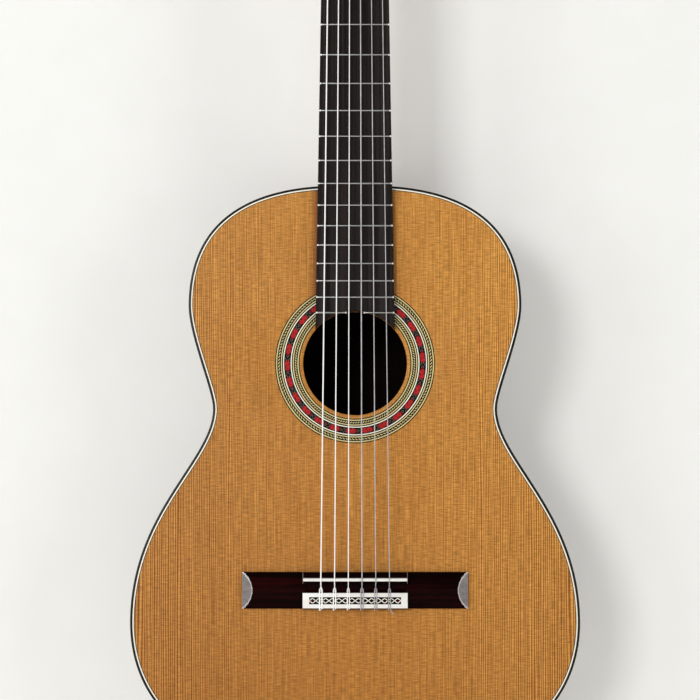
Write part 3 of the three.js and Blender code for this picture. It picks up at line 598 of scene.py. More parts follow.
def bezier(a, b, c, d, steps):
    """Points of a cubic curve after its first one, with their directions."""
    a, b, c, d = map(Vector, (a, b, c, d))
    out = []
    for i in range(1, steps + 1):
        t, u = i / steps, 1 - i / steps
        slope = (b - a) * u * u + (c - b) * 2 * u * t + (d - c) * t * t
        out.append((a * u ** 3 + b * 3 * u * u * t + c * 3 * u * t * t + d * t ** 3, slope.normalized()))
    return out


def clamp(value, least=0.0, most=1.0):
    return max(least, min(most, value))


# ---- body outline
# The treble side's curves from the tail to the neck, in mm.
BOUTS = (
    [(0, 0.4), (126.7, 0.4), (185, 53.7), (185, 125.2)],
    [(185, 125.2), (185, 215.3), (117.8, 257.2), (117.8, 299.6)],
    [(117.8, 299.6), (117.8, 314.2), (138.7, 360.7), (138.7, 386)],
    [(138.7, 386), (138.7, 491.1), (29.8, 486.5), (0, 486.5)],
)
HALF_STEPS = 180


def half_outline():
    """Evenly spaced (point, inward direction) pairs of the treble side, from the tail to the neck."""
    dense = [(Vector(BOUTS[0][0]), Vector((1, 0)))]
    for bout in BOUTS:
        dense += bezier(*bout, 400)
    lengths = [0.0]
    for (a, _), (b, _) in zip(dense, dense[1:]):
        lengths.append(lengths[-1] + (b - a).length)
    pairs, j = [], 0
    for i in range(HALF_STEPS + 1):
        want = lengths[-1] * i / HALF_STEPS
        while j < len(lengths) - 2 and lengths[j + 1] < want:
            j += 1
        share = (want - lengths[j]) / (lengths[j + 1] - lengths[j])
        spot = dense[j][0].lerp(dense[j + 1][0], share)
        slope = dense[j][1].lerp(dense[j + 1][1], share).normalized()
        pairs.append((spot * MM, Vector((-slope.y, slope.x))))
    return pairs


HALF = half_outline()
WHOLE = HALF + [(Vector((-p.x, p.y)), Vector((-n.x, n.y))) for p, n in reversed(HALF[1:-1])]


def rim(z):
    return TAIL_RIM_Y + (NECK_RIM_Y - TAIL_RIM_Y) * z / JOINT_Z


def inset_loop(inset):
    return [p + n * inset for p, n in WHOLE]


def band(name, profile, material, node, pairs=WHOLE, closed=True, tints=None):
    """A strip swept along the outline. Its profile holds (inset, distance, side) points: the
    distance is measured inwards from the front, or from the back rim where side is "back"."""
    rows = []
    for p, n in pairs:
        row = []
        for inset, distance, side in profile:
            spot = p + n * inset
            row.append((spot.x, TOP_Y + distance if side == "front" else rim(spot.y) - distance, spot.y))
        rows.append(row)
    piece(name, loft(rows, round_again=closed), material, node, tints=tints)


# ---- soundboard and rosette
BINDING_WIDTH = 2.1 * MM
CREAM_WIDTH = 1.05 * MM
BROWN_WIDTH = 0.6 * MM
PURFLED = BINDING_WIDTH + CREAM_WIDTH + BROWN_WIDTH


def circle(radius, y, steps=192):
    turns = [2 * pi * i / steps for i in range(steps)]
    return [(radius * sin(t), y, HOLE_Z + radius * cos(t)) for t in turns]


def soundboard():
    """The cedar top inside its bindings, the edge of its hole rounded over."""
    lip, thickness = 0.7 * MM, TOP_BACK_Y - TOP_Y
    rings = [(lip * (1 - sin(t)), lip * (1 - cos(t))) for t in quarter(5)]
    rings += [(0, thickness), (20 * MM, thickness)]
    edge = [[(p.x, y, p.y) for p in inset_loop(PURFLED)] for y in (TOP_Y, TOP_BACK_Y)]
    hole = [circle(HOLE_RADIUS + beyond, TOP_Y + depth) for beyond, depth in rings]
    verts, faces = loft(edge, caps=False)
    base = len(verts)
    more_verts, more_faces = loft(hole, caps=False)
    verts += more_verts
    faces += [tuple(base + i for i in face) for face in more_faces]
    count, around = len(edge[0]), len(hole[0])
    for outside, inside in ((0, base), (count, len(verts) - around)):
        index = [*range(outside, outside + count), *range(inside, inside + around)]
        flat = [Vector((verts[i][0], verts[i][2], 0)) for i in index]
        faces += [tuple(index[i] for i in t) for t in tessellate_polygon([flat[:count], flat[count:]])]
    piece("soundboard_wood", (verts, faces), CEDAR, "soundboard", angle=12)


def inlay_ring(name, inner, outer, materials, segments=240, tints=None):
    """A flat ring let into the soundboard round the hole. `tints` colours its segments in turn."""
    deep, proud = TOP_Y + 0.6 * MM, TOP_Y - 0.03 * MM
    rows = []
    for i in range(segments):
        across, up = sin(2 * pi * i / segments), cos(2 * pi * i / segments)
        rows.append([(across * radius, y, HOLE_Z + up * radius)
                     for radius, y in ((inner, deep), (inner, proud), (outer, proud), (outer, deep))])
    shades = [tints(i) for i in range(segments) for _ in range(4)] if tints else None
    piece(name, loft(rows, round_again=True), materials, "rosette", tints=shades)


# One repeat of the mosaic, from the hole outwards: R red, D dark red, G grey, K black. Its repeats
# are `TILE_PITCH` degrees apart, and one of them is centred at `FIRST_TILE` degrees from the top.
MOSAIC = (
    "KKKKKKKKKKKK",
    "KDRRDRRDKGKK",
    "DRRRRDRRGKKG",
    "DRDRRRRDKKGK",
    "DRRRDRRRGKKG",
    "KDRDRRRDKGKK",
    "KKKKKKKKKKKK",
)
TILES = {"R": RED_TILE, "D": DARK_RED_TILE, "G": GREY_TILE, "K": BLACK_LINE}
TILE_PITCH = 14.06
FIRST_TILE = 84.5
# The lines beside the mosaic, from its edge away: how far each one reaches, and what it is.
LINES = (
    (0.85, "white"), (1.75, "black"), (2.60, "olive"), (3.55, "black"), (4.15, "check"),
    (4.75, "offset"), (5.65, "black"), (6.60, "olive"), (7.45, "black"),
)
PLAIN_LINES = {"black": BLACK_LINE, "white": WHITE_LINE, "olive": OLIVE}
MOSAIC_SPAN = (53.5 * MM, 59.0 * MM)


def line_ring(name, inner, outer, kind):
    if kind in PLAIN_LINES:
        inlay_ring(name, inner, outer, PLAIN_LINES[kind])
    else:
        shift = 0 if kind == "check" else 2
        inlay_ring(name, inner, outer, [BLACK_LINE, OLIVE], 900, lambda i: ((i + shift) // 3) % 2)


def rosette():
    near, far = MOSAIC_SPAN
    before = 0.0
    for number, (reach, kind) in enumerate(LINES, 1):
        line_ring(f"rosette_inner_line_{number}", near - reach * MM, near - before * MM, kind)
        line_ring(f"rosette_outer_line_{number}", far + before * MM, far + reach * MM, kind)
        before = reach
    segments = 1440

    def tint(i, letters):
        share = ((360 * i / segments - FIRST_TILE) / TILE_PITCH + 0.33) % 1
        return list(TILES).index(letters[int(share * len(letters))])

    width = (far - near) / len(MOSAIC)
    for row, letters in enumerate(MOSAIC):
        inlay_ring(f"rosette_mosaic_{row + 1}", near + width * row, near + width * (row + 1),
                   list(TILES.values()), segments, lambda i, letters=letters: tint(i, letters))


# ---- sides, back, bindings
def body_shell():
    """The bindings with their purfling, the two bent sides, and the graft over their joint."""
    soft = 0.8 * MM
    corner = [(soft * (1 - sin(t)), soft * (1 - cos(t))) for t in reversed(quarter(4))]
    deep, shallow, cream_end = 5 * MM, 2.4 * MM, BINDING_WIDTH + CREAM_WIDTH
    outside = [(SIDE, deep), (0, deep), *corner]
    rebate = [(BINDING_WIDTH, 0), (BINDING_WIDTH, shallow), (SIDE, shallow)]

    def line(near, far):
        return [(near, 0), (far, 0), (far, shallow), (near, shallow)]

    for name, place, profile, material in (
        ("top_binding_strip", "front", outside + rebate, BINDING),
        ("top_white_line", "front", line(BINDING_WIDTH, cream_end), PURFLING),
        ("top_brown_line", "front", line(cream_end, PURFLED), BROWN_LINE),
        ("back_binding_strip", "back", outside + [(SIDE, 0)], BINDING),
    ):
        node = "top_binding" if place == "front" else "back_binding"
        band(name, [(inset, distance, place) for inset, distance in profile], material, node)
    tail_z = HALF[0][0].y
    graft_low, graft_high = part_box("end_graft")
    gap = graft_high.x + 0.05 * MM
    wall = [(0, deep, "front"), (0, deep, "back"), (SIDE, deep, "back"), (SIDE, deep, "front")]
    for side, label in LABELS.items():
        pairs = [(Vector((side * gap, tail_z + 0.1 * MM)), Vector((0, 1)))]
        pairs += [(Vector((side * p.x, p.y)), Vector((side * n.x, n.y))) for p, n in HALF
                  if p.x > gap and not (p.x < 11 * MM and p.y > HOLE_Z)]
        # the sides' inner faces take the painted shade
        band(f"side_{label}_wood", wall, [SIDE_ROSEWOOD, INSIDE_PAINTED_SHADE], f"side_{label}", pairs, closed=False,
             tints=[0, 0, 1, 0] * (len(pairs) - 1) + [0, 0])
    block("end_graft_wood", graft_low, graft_high, BINDING, "end_graft", 0.3 * MM)
    for side, label in LABELS.items():
        x, half = side * (graft_high.x + 0.35 * MM), 0.35 * MM
        block(f"end_graft_line_{label}", (x - half, graft_low.y, tail_z - 0.1 * MM),
              (x + half, graft_high.y, tail_z + 1.5 * MM), CREAM, "end_graft", 0.1 * MM)


def domed(z, share):
    """The back's outer face at height z, `share` of the way from the dome's middle to the rim."""
    return rim(z) + DOME * (1 - share * share)


def back_plate():
    """The domed back, in two matched halves, with a thin strip down the middle."""
    centre, rings = Vector((0, DOME_Z)), 16
    loop = inset_loop(SIDE)
    shares = [i / rings for i in range(1, rings + 1)]
    rows = []
    for sink, order in ((BACK_THICKNESS, shares), (0, shares[::-1])):
        for share in order:
            spots = [centre.lerp(p, share) for p in loop]
            rows.append([(p.x, domed(p.y, share) - sink, p.y) for p in spots])
    tints = [1] * ((rings - 1) * len(loop)) + [0] * (rings * len(loop)) + [1, 0]
    # the back's inner face takes the painted shade
    piece("back_wood", loft(rows), [ROSEWOOD, INSIDE_PAINTED_SHADE], "back", angle=50, tints=tints)
    for name, half, proud, material in (("back_strip_edges", 2.6 * MM, 0.05 * MM, CREAM),
                                        ("back_strip", 1.7 * MM, 0.1 * MM, BINDING)):
        rows = []
        for i in range(81):
            z = SIDE * 1.3 + (JOINT_Z - 2.6 * SIDE) * i / 80
            reach = (JOINT_Z - SIDE - DOME_Z) if z > DOME_Z else DOME_Z - SIDE
            y = domed(z, min(1, abs(z - DOME_Z) / reach))
            rows.append([(x, y + out, z) for x, out in ((-half, -0.5 * MM), (-half, proud),
                                                        (half, proud), (half, -0.5 * MM))])
        piece(name, loft(rows), material, "back")


# ---- neck
HEEL_FLAT = 24 * MM
HEEL_SWEEP = 42 * MM
HEEL_BACK_Y = low("heel_cap").y
HEEL_HALF = high("heel_cap").x


def board_half(z):
    share = (NUT_Z - z) / (NUT_Z - BOARD_END_Z)
    return BOARD_HALF_NUT + (BOARD_HALF_END - BOARD_HALF_NUT) * share


def heel_half(height):
    return HEEL_HALF * sqrt(1 - (min(height, HEEL_FLAT) / (26 * MM)) ** 2)


def neck_section(phi, height):
    """A D-shaped section that turns into a wedge with a narrow back at the heel."""
    z = JOINT_Z + height
    half = board_half(min(z, NUT_Z))
    c, s = cos(phi), sin(phi)
    shaft = (19 - 3.2 * height / (HEAD_Z - JOINT_Z)) * MM
    rise = clamp((height - HEEL_FLAT) / HEEL_SWEEP)
    depth = shaft + (HEEL_BACK_Y - TOP_Y - shaft) * (1 - rise) ** 3.2
    swell = 1.12
    wedge = min(1, swell * s)
    prow = heel_half(max(0, height))
    wedge_x = copysign(half + (prow - half) * wedge, c) if wedge < 1 else prow * c / sqrt(1 - 1 / swell ** 2)
    round_x = half * copysign(abs(c) ** 0.85, c)
    round_y = max(s, 0) ** 0.8
    heel = 1 - clamp((height - HEEL_FLAT) / (30 * MM))
    blend = heel * heel * (3 - 2 * heel)
    return Vector((round_x + (wedge_x - round_x) * blend,
                   TOP_Y + depth * (round_y + (wedge - round_y) * blend), z))


def side_z(x):
    """The height of the body's outline at half-width x, near the neck."""
    for (a, _), (b, _) in zip(reversed(HALF), reversed(HALF[:-1])):
        if a.x <= abs(x) <= b.x:
            return a.y + (b.y - a.y) * (abs(x) - a.x) / max(1e-9, b.x - a.x)
    return JOINT_Z


def neck():
    """The neck with its heel, its foot inside the body, and the cap on its heel."""
    around, swept, top = 48, 69 * MM, HEAD_Z - JOINT_Z
    stations = [i * 1.5 * MM for i in range(46)] + [swept + (top - swept) * i / 60 for i in range(61)]
    rows = []
    for height in stations:
        row = [neck_section(pi * i / around, height) for i in range(around + 1)]
        for p in row:
            foot = side_z(p.x) + 0.1 * MM if height == 0 else p.z
            p.z = min(foot, HEAD_Z + TOP_Y - p.y)
        rows.append(row)
    piece("neck_wood", loft(rows), CEDRO, "neck", angle=40)
    half, slipper_y, top_z = 31 * MM, 12 * MM, 482 * MM
    block("neck_foot", (-half, TOP_BACK_Y, 456 * MM), (half, slipper_y, top_z), CEDRO, "neck", 0.5 * MM)
    block("neck_slipper", (-half, slipper_y, 431 * MM), (half, HEEL_BACK_Y - 0.3 * MM, top_z), CEDRO,
          "neck", 1.5 * MM)
    lo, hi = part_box("heel_cap")
    heights = [lo.z - JOINT_Z + (HEEL_FLAT - 0.15 * MM) * i / 24 for i in range(25)]
    loop = [(heel_half(height), JOINT_Z + height) for height in heights]
    loop += [(-x, z) for x, z in reversed(loop)]
    settle(plate("heel_cap_wood", [loop], lo.y, hi.y, 0.5 * MM, BINDING), "heel_cap", angle=12)


def fingerboard():
    """The board, its end cut round the hole, and its frets: the last one in two pieces."""
    reach = degrees(asin(board_half(BOARD_END_Z) / HOLE_RADIUS))
    loop = arc((0, HOLE_Z), HOLE_RADIUS, 90 - reach, 90 + reach, 60)
    corner = board_half(loop[0][1])
    loop[0], loop[-1] = (corner, loop[0][1]), (-corner, loop[-1][1])
    loop += [(-BOARD_HALF_NUT, NUT_Z), (BOARD_HALF_NUT, NUT_Z)]
    board = plate("fingerboard_wood", [loop], BOARD_TOP_Y, TOP_Y, 0.35 * MM, EBONY)
    settle(board, "fingerboard", angle=12)
    for n in range(1, FRETS + 1):
        z = NUT_Z - SCALE * (1 - 2 ** (-n / 12))
        half = board_half(z) - 0.15 * MM
        if n == FRETS:
            inner = sqrt(HOLE_RADIUS ** 2 - (z + 1.1 * MM - HOLE_Z) ** 2) + 1.2 * MM
            fret(f"fret_{n}_bass", -half, -inner, z)
            fret(f"fret_{n}_treble", inner, half, z)
        else:
            fret(f"fret_{n}", -half, half, z)


def fret(name, x0, x1, z):
    """A crowned wire, its polished ends dressed down to the edges of the board and painted white as a glint.
    """
    ends = [(0, 0.15, 0.86), (0.25, 0.55, 0.94), (0.6, 0.85, 0.98), (1.2, 1, 1)]
    places = [(x0 + d * MM, h, w) for d, h, w in ends] + [(x1 - d * MM, h, w) for d, h, w in reversed(ends)]
    root = BOARD_TOP_Y + 0.2 * MM
    rows = []
    for x, height, width in places:
        half = 0.75 * MM * width
        rise = (BOARD_TOP_Y - FRET_TOP_Y) * height
        crown = [(x, BOARD_TOP_Y - rise * v, z - half * u) for u, v in arc((0, 0), 1, 0, 180, 12)]
        rows.append([(x, root, z - half), *crown, (x, root, z + half)])
    around = len(rows[0])
    # the three bands at each end carry the painted white glint
    tints = [0 if 3 <= i // around < len(rows) - 4 else 1 for i in range(around * (len(rows) - 1))]
    piece(name, loft(rows), [FRET_SILVER, FRET_END_PAINTED_GLINT], "fingerboard", angle=50, tints=tints + [1, 1])


# ---- nut, saddle, bridge
BRIDGE_LOW, BRIDGE_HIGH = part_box("bridge")
SADDLE_LOW, SADDLE_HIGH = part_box("saddle")
SADDLE_Z = (SADDLE_LOW.z + SADDLE_HIGH.z) / 2
CAP_LOW, CAP_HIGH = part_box("tie_block_cap")
TIE_BLOCK_Z = CAP_HIGH.z + 0.5 * MM
TIE_HOLE_Y = TOP_Y - 4.2 * MM
MIDDLE_HALF = 43 * MM


def string_x(k, z):
    """The place of string k across the guitar at height z, between saddle and nut."""
    spread = (56 + (42.5 - 56) * clamp((z - SADDLE_Z) / (NUT_Z - SADDLE_Z))) * MM
    return spread / 2 - spread * (k - 1) / 5


def nut_and_saddle():
    lo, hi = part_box("nut")
    nut = block("nut_bone", lo, hi, BONE, "nut", 0.7 * MM)
    grooves = []
    for k, radius in enumerate(STRING_RADII, 1):
        start = (string_x(k, NUT_Z), NUT_TOP_Y - 0.12 * MM - radius * 0.55, lo.z - 2 * MM)
        width = radius / MM * 1.15
        grooves.append(loose("groove", lathe([(0, width), (9, width)], start, (0, 0, 1), 16)))
    carve(nut, grooves)
    y = SADDLE_LOW.y
    tail_half = [(SADDLE_HIGH.y, -1.3), (y + 1.1 * MM, -1.3), (y + 0.45 * MM, -1.1), (y + 0.1 * MM, -0.6)]
    profile = tail_half + [(y, 0)] + [(y, -z) for y, z in reversed(tail_half)]
    rows = [[(x, y, SADDLE_Z + z * MM) for y, z in profile] for x in (SADDLE_LOW.x, SADDLE_HIGH.x)]
    piece("saddle_bone", loft(rows), BONE, "saddle", angle=30)


def bridge_wing(side, label):
    """A low crowned wing, hollow-cut at its end. The cut face carries a painted reflection of the side lights
    in light grey, and its rim a paler painted highlight.
    """
    half, root = BRIDGE_HIGH.x, MIDDLE_HALF - 2 * MM
    lo, hi = BRIDGE_LOW.z, BRIDGE_HIGH.z
    crown, edge = 4.6 * MM, 2.2 * MM
    rows, cut_rows = [], []
    for i in range(81):
        x = root + (half - root) * (i / 80) ** 0.7
        slope = 2.1 * MM + (half - x) * 0.31
        across = [-1 + j / 16 for j in range(33)]
        heights = [edge + (crown - edge) * (1 - abs(u) ** 2.2) for u in across]
        top = [(side * x, TOP_Y - min(height, slope), (lo + hi) / 2 + (hi - lo) / 2 * u)
               for u, height in zip(across, heights)]
        rows.append([(side * x, TOP_Y, lo), *top, (side * x, TOP_Y, hi)])
        cut_rows.append([slope < height for height in heights])
    tints = []
    for near, far in zip(cut_rows, cut_rows[1:]):
        corners = [near[j:j + 2] + far[j:j + 2] for j in range(32)]
        tints += [0, *(1 if all(c) else 2 if any(c) else 0 for c in corners), 0, 0]
    piece(f"bridge_wing_{label}", loft(rows), [DARK_ROSEWOOD, PAINTED_FACET_SHEEN, PAINTED_RIM_GLINT], "bridge", angle=12,
          tints=tints + [0, 0])


def bridge_middle():
    """The raised middle: a round front, the saddle's slot, and the tie block drilled for strings."""
    lo, hi = BRIDGE_LOW.z, BRIDGE_HIGH.z
    head, tail = SADDLE_Z + 1.6 * MM, SADDLE_Z - 1.6 * MM
    profile = [(hi, 0), (hi, 6.4)]
    profile += [(hi - 1.6 * MM * (1 - cos(t)), 6.4 + 2.2 * sin(t)) for t in quarter(6)[1:]]
    profile += [(head, 8.6), (head, 4.5), (tail, 4.5), (tail, 8.5), (tail - 1.5 * MM, 7.9),
                (tail - 2.6 * MM, 4.0), (TIE_BLOCK_Z + 0.6 * MM, 3.0), (TIE_BLOCK_Z, 3.4)]
    cap_y = CAP_HIGH.y
    profile = [(z, TOP_Y - height * MM) for z, height in profile]
    profile += [(TIE_BLOCK_Z, cap_y), (lo + 0.5 * MM, cap_y), (lo, cap_y + 0.5 * MM), (lo, TOP_Y)]
    soft, end = 0.5 * MM, MIDDLE_HALF
    rows = [[(x, min(TOP_Y, y + sink), z) for z, y in profile]
            for x, sink in ((-end, soft), (soft - end, 0), (end - soft, 0), (end, soft))]
    middle = loose("bridge_middle", loft(rows), DARK_ROSEWOOD, PAINTED_FACET_SHEEN)
    # painted highlight: the chamfers at the middle's ends take the light grey of the facets
    for chamfer in (0, 2):
        for j in range(len(profile)):
            middle.data.polygons[chamfer * len(profile) + j].material_index = 1
    reach = (TIE_BLOCK_Z + 2 * MM - (lo - 5 * MM)) / MM
    carve(middle, [loose("tie_hole", lathe([(0, 1.0), (reach, 1.0)],
                                           (string_x(k, SADDLE_Z), TIE_HOLE_Y, lo - 5 * MM), (0, 0, 1), 16))
                   for k in range(1, 7)])
    settle(middle, "bridge", angle=30)


def tie_block_cap():
    """Bone cap with a window of black inlay, a chain of cream diamonds and red dots."""
    node, y = "tie_block_cap", CAP_LOW.y
    block("tie_block_bone", CAP_LOW, CAP_HIGH, BONE, node, 0.4 * MM)
    middle = (CAP_LOW.z + CAP_HIGH.z) / 2
    half, tall = 37.5 * MM, 2.9 * MM
    block("tie_inlay_ground", (-half, y - 0.03 * MM, middle - tall), (half, y + 0.3 * MM, middle + tall),
          BLACK_LINE, node, 0.02 * MM)
    links = 14
    pitch, reach = 2 * half / links, tall - 0.9 * MM
    verts, faces = [], []
    for i in range(links):
        for sx, sz in ((-1, -1), (-1, 1), (1, -1), (1, 1)):
            a = Vector((-half + pitch * (i + 0.5), middle + sz * reach))
            b = Vector((a.x + sx * pitch / 2, middle))
            across = (b - a).orthogonal().normalized() * 0.31 * MM
            faces.append(tuple(range(len(verts), len(verts) + 4)))
            verts += [(p.x, y - 0.06 * MM, p.y) for p in (a - across, b - across, b + across, a + across)]
    piece("tie_inlay_chain", (verts, faces), PURFLING, node)
    verts, faces = [], []
    for i in range(0, links + 1, 2):
        x = clamp(-half + pitch * i, -half + 1.2 * MM, half - 1.2 * MM)
        faces.append(tuple(range(len(verts), len(verts) + 16)))
        verts += [(u, y - 0.07 * MM, v) for u, v in arc((x, middle), 0.62 * MM, 0, 337.5, 15)]
    piece("tie_inlay_dots", (verts, faces), RED_TILE, node)


# ---- strings
def knot(k, x, radius):
    """String k's way round the tie block: its end over the cap, a loop through itself, back over
    the cap, in through the block's hole and up to the saddle. The first string's end sticks out."""
    tail = BRIDGE_LOW.z
    over = CAP_LOW.y - radius - 0.1 * MM
    apart = radius + 0.45 * MM
    middle, behind = (tail + TIE_BLOCK_Z) / 2, tail - 0.1 * MM - radius
    ends = [(apart, over, tail + 0.4 * MM)]
    if k == 1:
        ends = [(apart + 2.6 * MM, over + 3.2 * MM, tail - 4.0 * MM),
                (apart + 0.6 * MM, over + 1.3 * MM, tail - 1.5 * MM)]
    loop_y, loop_z = over + 1.6 * MM, TIE_BLOCK_Z + 1.6 * MM + radius
    points = [
        *ends,
        (apart, over, tail + 1.6 * MM),
        (apart, over, middle),
        (apart, over, TIE_BLOCK_Z - 0.8 * MM),
        (apart * 0.95, loop_y, loop_z),
        (0, over + 2.6 * MM + 2 * radius, TIE_BLOCK_Z + 3.4 * MM),
        (-apart * 0.95, loop_y, loop_z),
        (-apart, over, TIE_BLOCK_Z - 0.8 * MM),
        (-apart, over, middle),
        (-apart, over, tail + 1.4 * MM),
        (-apart, over + 1.2 * MM, behind),
        (-apart * 0.5, TIE_HOLE_Y - 1.6 * MM, behind),
        (0, TIE_HOLE_Y, tail - 0.2 * MM),
        (0, TIE_HOLE_Y, tail + 5 * MM),
        (0, TIE_HOLE_Y, TIE_BLOCK_Z - 1 * MM),
        (0, TIE_HOLE_Y - 0.4 * MM, TIE_BLOCK_Z + 1.0 * MM),
        (0, SADDLE_LOW.y - radius + 0.5 * MM, SADDLE_Z - 1.6 * MM),
        (0, SADDLE_LOW.y - radius, SADDLE_Z - 0.2 * MM),
    ]
    return smooth_route([(x + dx, y, z) for dx, y, z in points], 0.6 * MM)


def strings():
    """Six strings: the knot, the straight length over the saddle and nut, and three turns of coil."""
    turns = 3
    for k, radius in enumerate(STRING_RADII, 1):
        x, nut_x = string_x(k, SADDLE_Z), string_x(k, NUT_Z)
        side = 1 if k <= 3 else -1
        start = Vector((x, SADDLE_LOW.y - radius, SADDLE_Z + 0.2 * MM))
        end = Vector((nut_x, NUT_TOP_Y - radius - 0.05 * MM, NUT_Z + 0.4 * MM))
        bend = Vector((nut_x, NUT_TOP_Y - radius, NUT_Z + 4.6 * MM))
        along = BARRELS[BARREL_OF_STRING[k - 1]]
        landing = (17, 16, 19, 19, 16, 17)[k - 1] * MM
        reach = BARREL_RADIUS + radius + 0.14 * MM
        wraps = []
        for i in range(turns * 20 + 1):
            angle = 2 * pi * i / 20 - 0.25
            across = side * (landing + (2 * radius + 0.06 * MM) * i / 20)
            wraps.append(HEAD_FRAME @ Vector((across, BARREL_DEPTH - reach * cos(angle),
                                              along + reach * sin(angle))))
        route = knot(k, x, radius) + [start.lerp(end, i / 12) for i in range(13)]
        route += [bend, bend.lerp(wraps[0], 0.5)] + wraps
        tube(f"string_{k}_cord", route, radius, NYLON if k <= 3 else WOUND, f"string_{k}")


# ---- headstock, in its own frame
def head_loops(foot_half):
    """The headstock's outline and its two slots."""
    half = HEAD_HALF / MM
    right = [(foot_half, 0)]
    for *curve, steps in (
        ((27, 16), (half, 20), (half, 38), 16),
        ((half, 76), (half, 115), (half, 154), 1),
        ((half, 162), (37.5, 170), (31, 176), 14),
        ((23.7, 174.7), (19, 177), (17, 183), 12),
        ((12.3, 187.7), (6.7, 190.3), (0, 191), 12),
    ):
        right += [tuple(p) for p, _ in bezier(right[-1], *curve, steps)]
    outline = right + [(-x, z) for x, z in reversed(right) if x > 1e-3]
    loops = [[(x * MM, z * MM) for x, z in outline]]
    for x in (-SLOT_X, SLOT_X):
        loops.append(arc((x, SLOT_ENDS[1] - SLOT_HALF), SLOT_HALF, 0, 180, 16)
                     + arc((x, SLOT_ENDS[0] + SLOT_HALF), SLOT_HALF, 180, 360, 16))
    return loops


def ramps():
    """Cutters for the sloped floors that let the strings down into the slots."""
    profile = [(23, -3.6), (56, -3.6), (56, 10), (48, 10)]
    made = []
    for x in (-SLOT_X, SLOT_X):
        rows = [[(x + dx * MM, y * MM, z * MM) for z, y in profile] for dx in (-6.4, 6.4)]
        made.append(loose("ramp", loft(rows)))
    return made


def volute():
    """The round shape that the headstock's foot is trimmed to, where it meets the neck."""
    rows = []
    for height, swell in ((-20, 0), (-10, 0), (-4, 0.08), (2, 0.25), (8, 0.5), (14, 0.75), (20, 1),
                          (26, 1.3), (34, 1.8), (60, 3), (200, 3)):
        grown, flare = clamp(swell), max(0, swell - 1)
        half = 26.3 + 6 * grown + 14 * flare
        row = []
        for i in range(33):
            c, s = cos(pi * i / 32), sin(pi * i / 32)
            x = half * copysign(abs(c) ** (0.85 - 0.7 * grown), c)
            row.append((x * MM, (-0.5 + (18.7 + 6 * flare) * s ** (0.8 - 0.7 * grown)) * MM, height * MM))
        rows.append(row)
    return loose("volute", loft(rows))


def scarf():
    """A large cube whose face lies along the glued joint between neck and headstock."""
    reach = 80 * MM
    centre = Vector((0, TOP_Y, HEAD_Z)) - Vector((0, 1, 1)).normalized() * (reach - 0.06 * MM)
    place = HEAD_FRAME.inverted() @ Matrix.Translation(centre) @ Matrix.Rotation(pi / 4, 4, "X")
    flat = ((-reach, -reach), (reach, -reach), (reach, reach), (-reach, reach))
    return loose("scarf", loft([[place @ Vector((x, y, z)) for x, y in flat] for z in (-reach, reach)]))


def headstock():
    head = plate("headstock_wood", head_loops(26.3), 0, HEAD_THICKNESS, 0.6 * MM, CEDRO)
    carve(head, [volute()], "INTERSECT")
    width = BARREL_RADIUS / MM + 0.25
    bores = [loose("bore", lathe([(0, width), (32, width)], (side * 6.5 * MM, BARREL_DEPTH, along),
                                 (side, 0, 0), 32)) for side in LABELS for along in BARRELS]
    carve(head, [scarf(), *ramps(), *bores])
    veneer = plate("head_veneer_wood", head_loops(26.6), -VENEER - 0.15 * MM, -0.05 * MM, 0.4 * MM, ROSEWOOD)
    carve(veneer, ramps())
    for obj, node, angle in ((head, "headstock", 30), (veneer, "head_veneer", 12)):
        obj.data.transform(HEAD_FRAME)
        settle(obj, node, angle=angle)


# ---- tuning machines, in the head's frame
def machine(side, label):
    """One plate with its lugs and screws."""
    node = f"machine_plate_{label}"
    inner = HEAD_HALF + 0.1 * MM
    outer, soft = inner + 1.25 * MM, 0.3 * MM
    tail, top = BARRELS[0] - 18 * MM, BARRELS[2] + 12 * MM
    centre = Vector(((tail + top) / 2, HEAD_THICKNESS / 2))
    outline = [centre + Vector(p) for p in rounded(top - tail, 16.8 * MM, 3 * MM, 6)]
    rows = []
    for x, shrink in ((inner, 0), (outer - soft, 0), (outer, soft)):
        loop = [p + (centre - p).normalized() * shrink for p in outline]
        rows.append([(side * x, p.y, p.x) for p in loop])
    piece(f"{node}_brass", in_head(loft(rows)), BRASS, node)
    for number, along in enumerate(BARRELS, 1):
        worm, half = along - WORM_DROP, 3.3 * MM
        shape = [(GEAR_X + 2.9 * MM * u, worm + half * v) for u, v in arc((0, 0), 1, 90, -90, 20)]
        shape += [(outer - soft, worm - half), (outer - soft, worm + half)]
        for place, depth in (("front", 1 * MM), ("rear", 15 * MM)):
            rows = [[(side * x, y, z) for x, z in shape] for y in (depth, depth + 2 * MM)]
            piece(f"machine_lug_{label}_{number}_{place}", in_head(loft(rows)), BRASS, node)
    for along in (BARRELS[0] - 15.3 * MM, (BARRELS[0] + BARRELS[1]) / 2 + 2 * MM,
                  (BARRELS[1] + BARRELS[2]) / 2 + 2 * MM, BARRELS[2] + 9 * MM):
        for depth in (4, 14):
            screw(f"plate_screw_{label}_{round(along / MM)}_{depth}", (side * outer, depth * MM, along),
                  side, 1.7, BRASS, node, "body")


def screw(name, place, side, radius, material, node, body):
    """A round-headed screw with a slot, its radius in mm."""
    dome = [(0.1 + radius * 0.38 * sin(t), radius * cos(t)) for t in quarter(6)[1:-1]]
    head = loose(name, lathe([(-0.3, radius), (0.1, radius), *dome], place, (side, 0, 0), 24), material)
    x, y, z = place
    x += side * (0.1 + radius * 0.4) * MM
    half, width = radius * 1.2 * MM, 0.22 * MM
    rows = [[(x + side * depth * MM, y + b, z + a) for a, b in (
        (-half, -width), (half, -width), (half, width), (-half, width))] for depth in (-0.35, 0.5)]
    carve(head, [loose("slot", loft(rows))])
    head.data.transform(HEAD_FRAME)
    settle(head, node, body, 30)


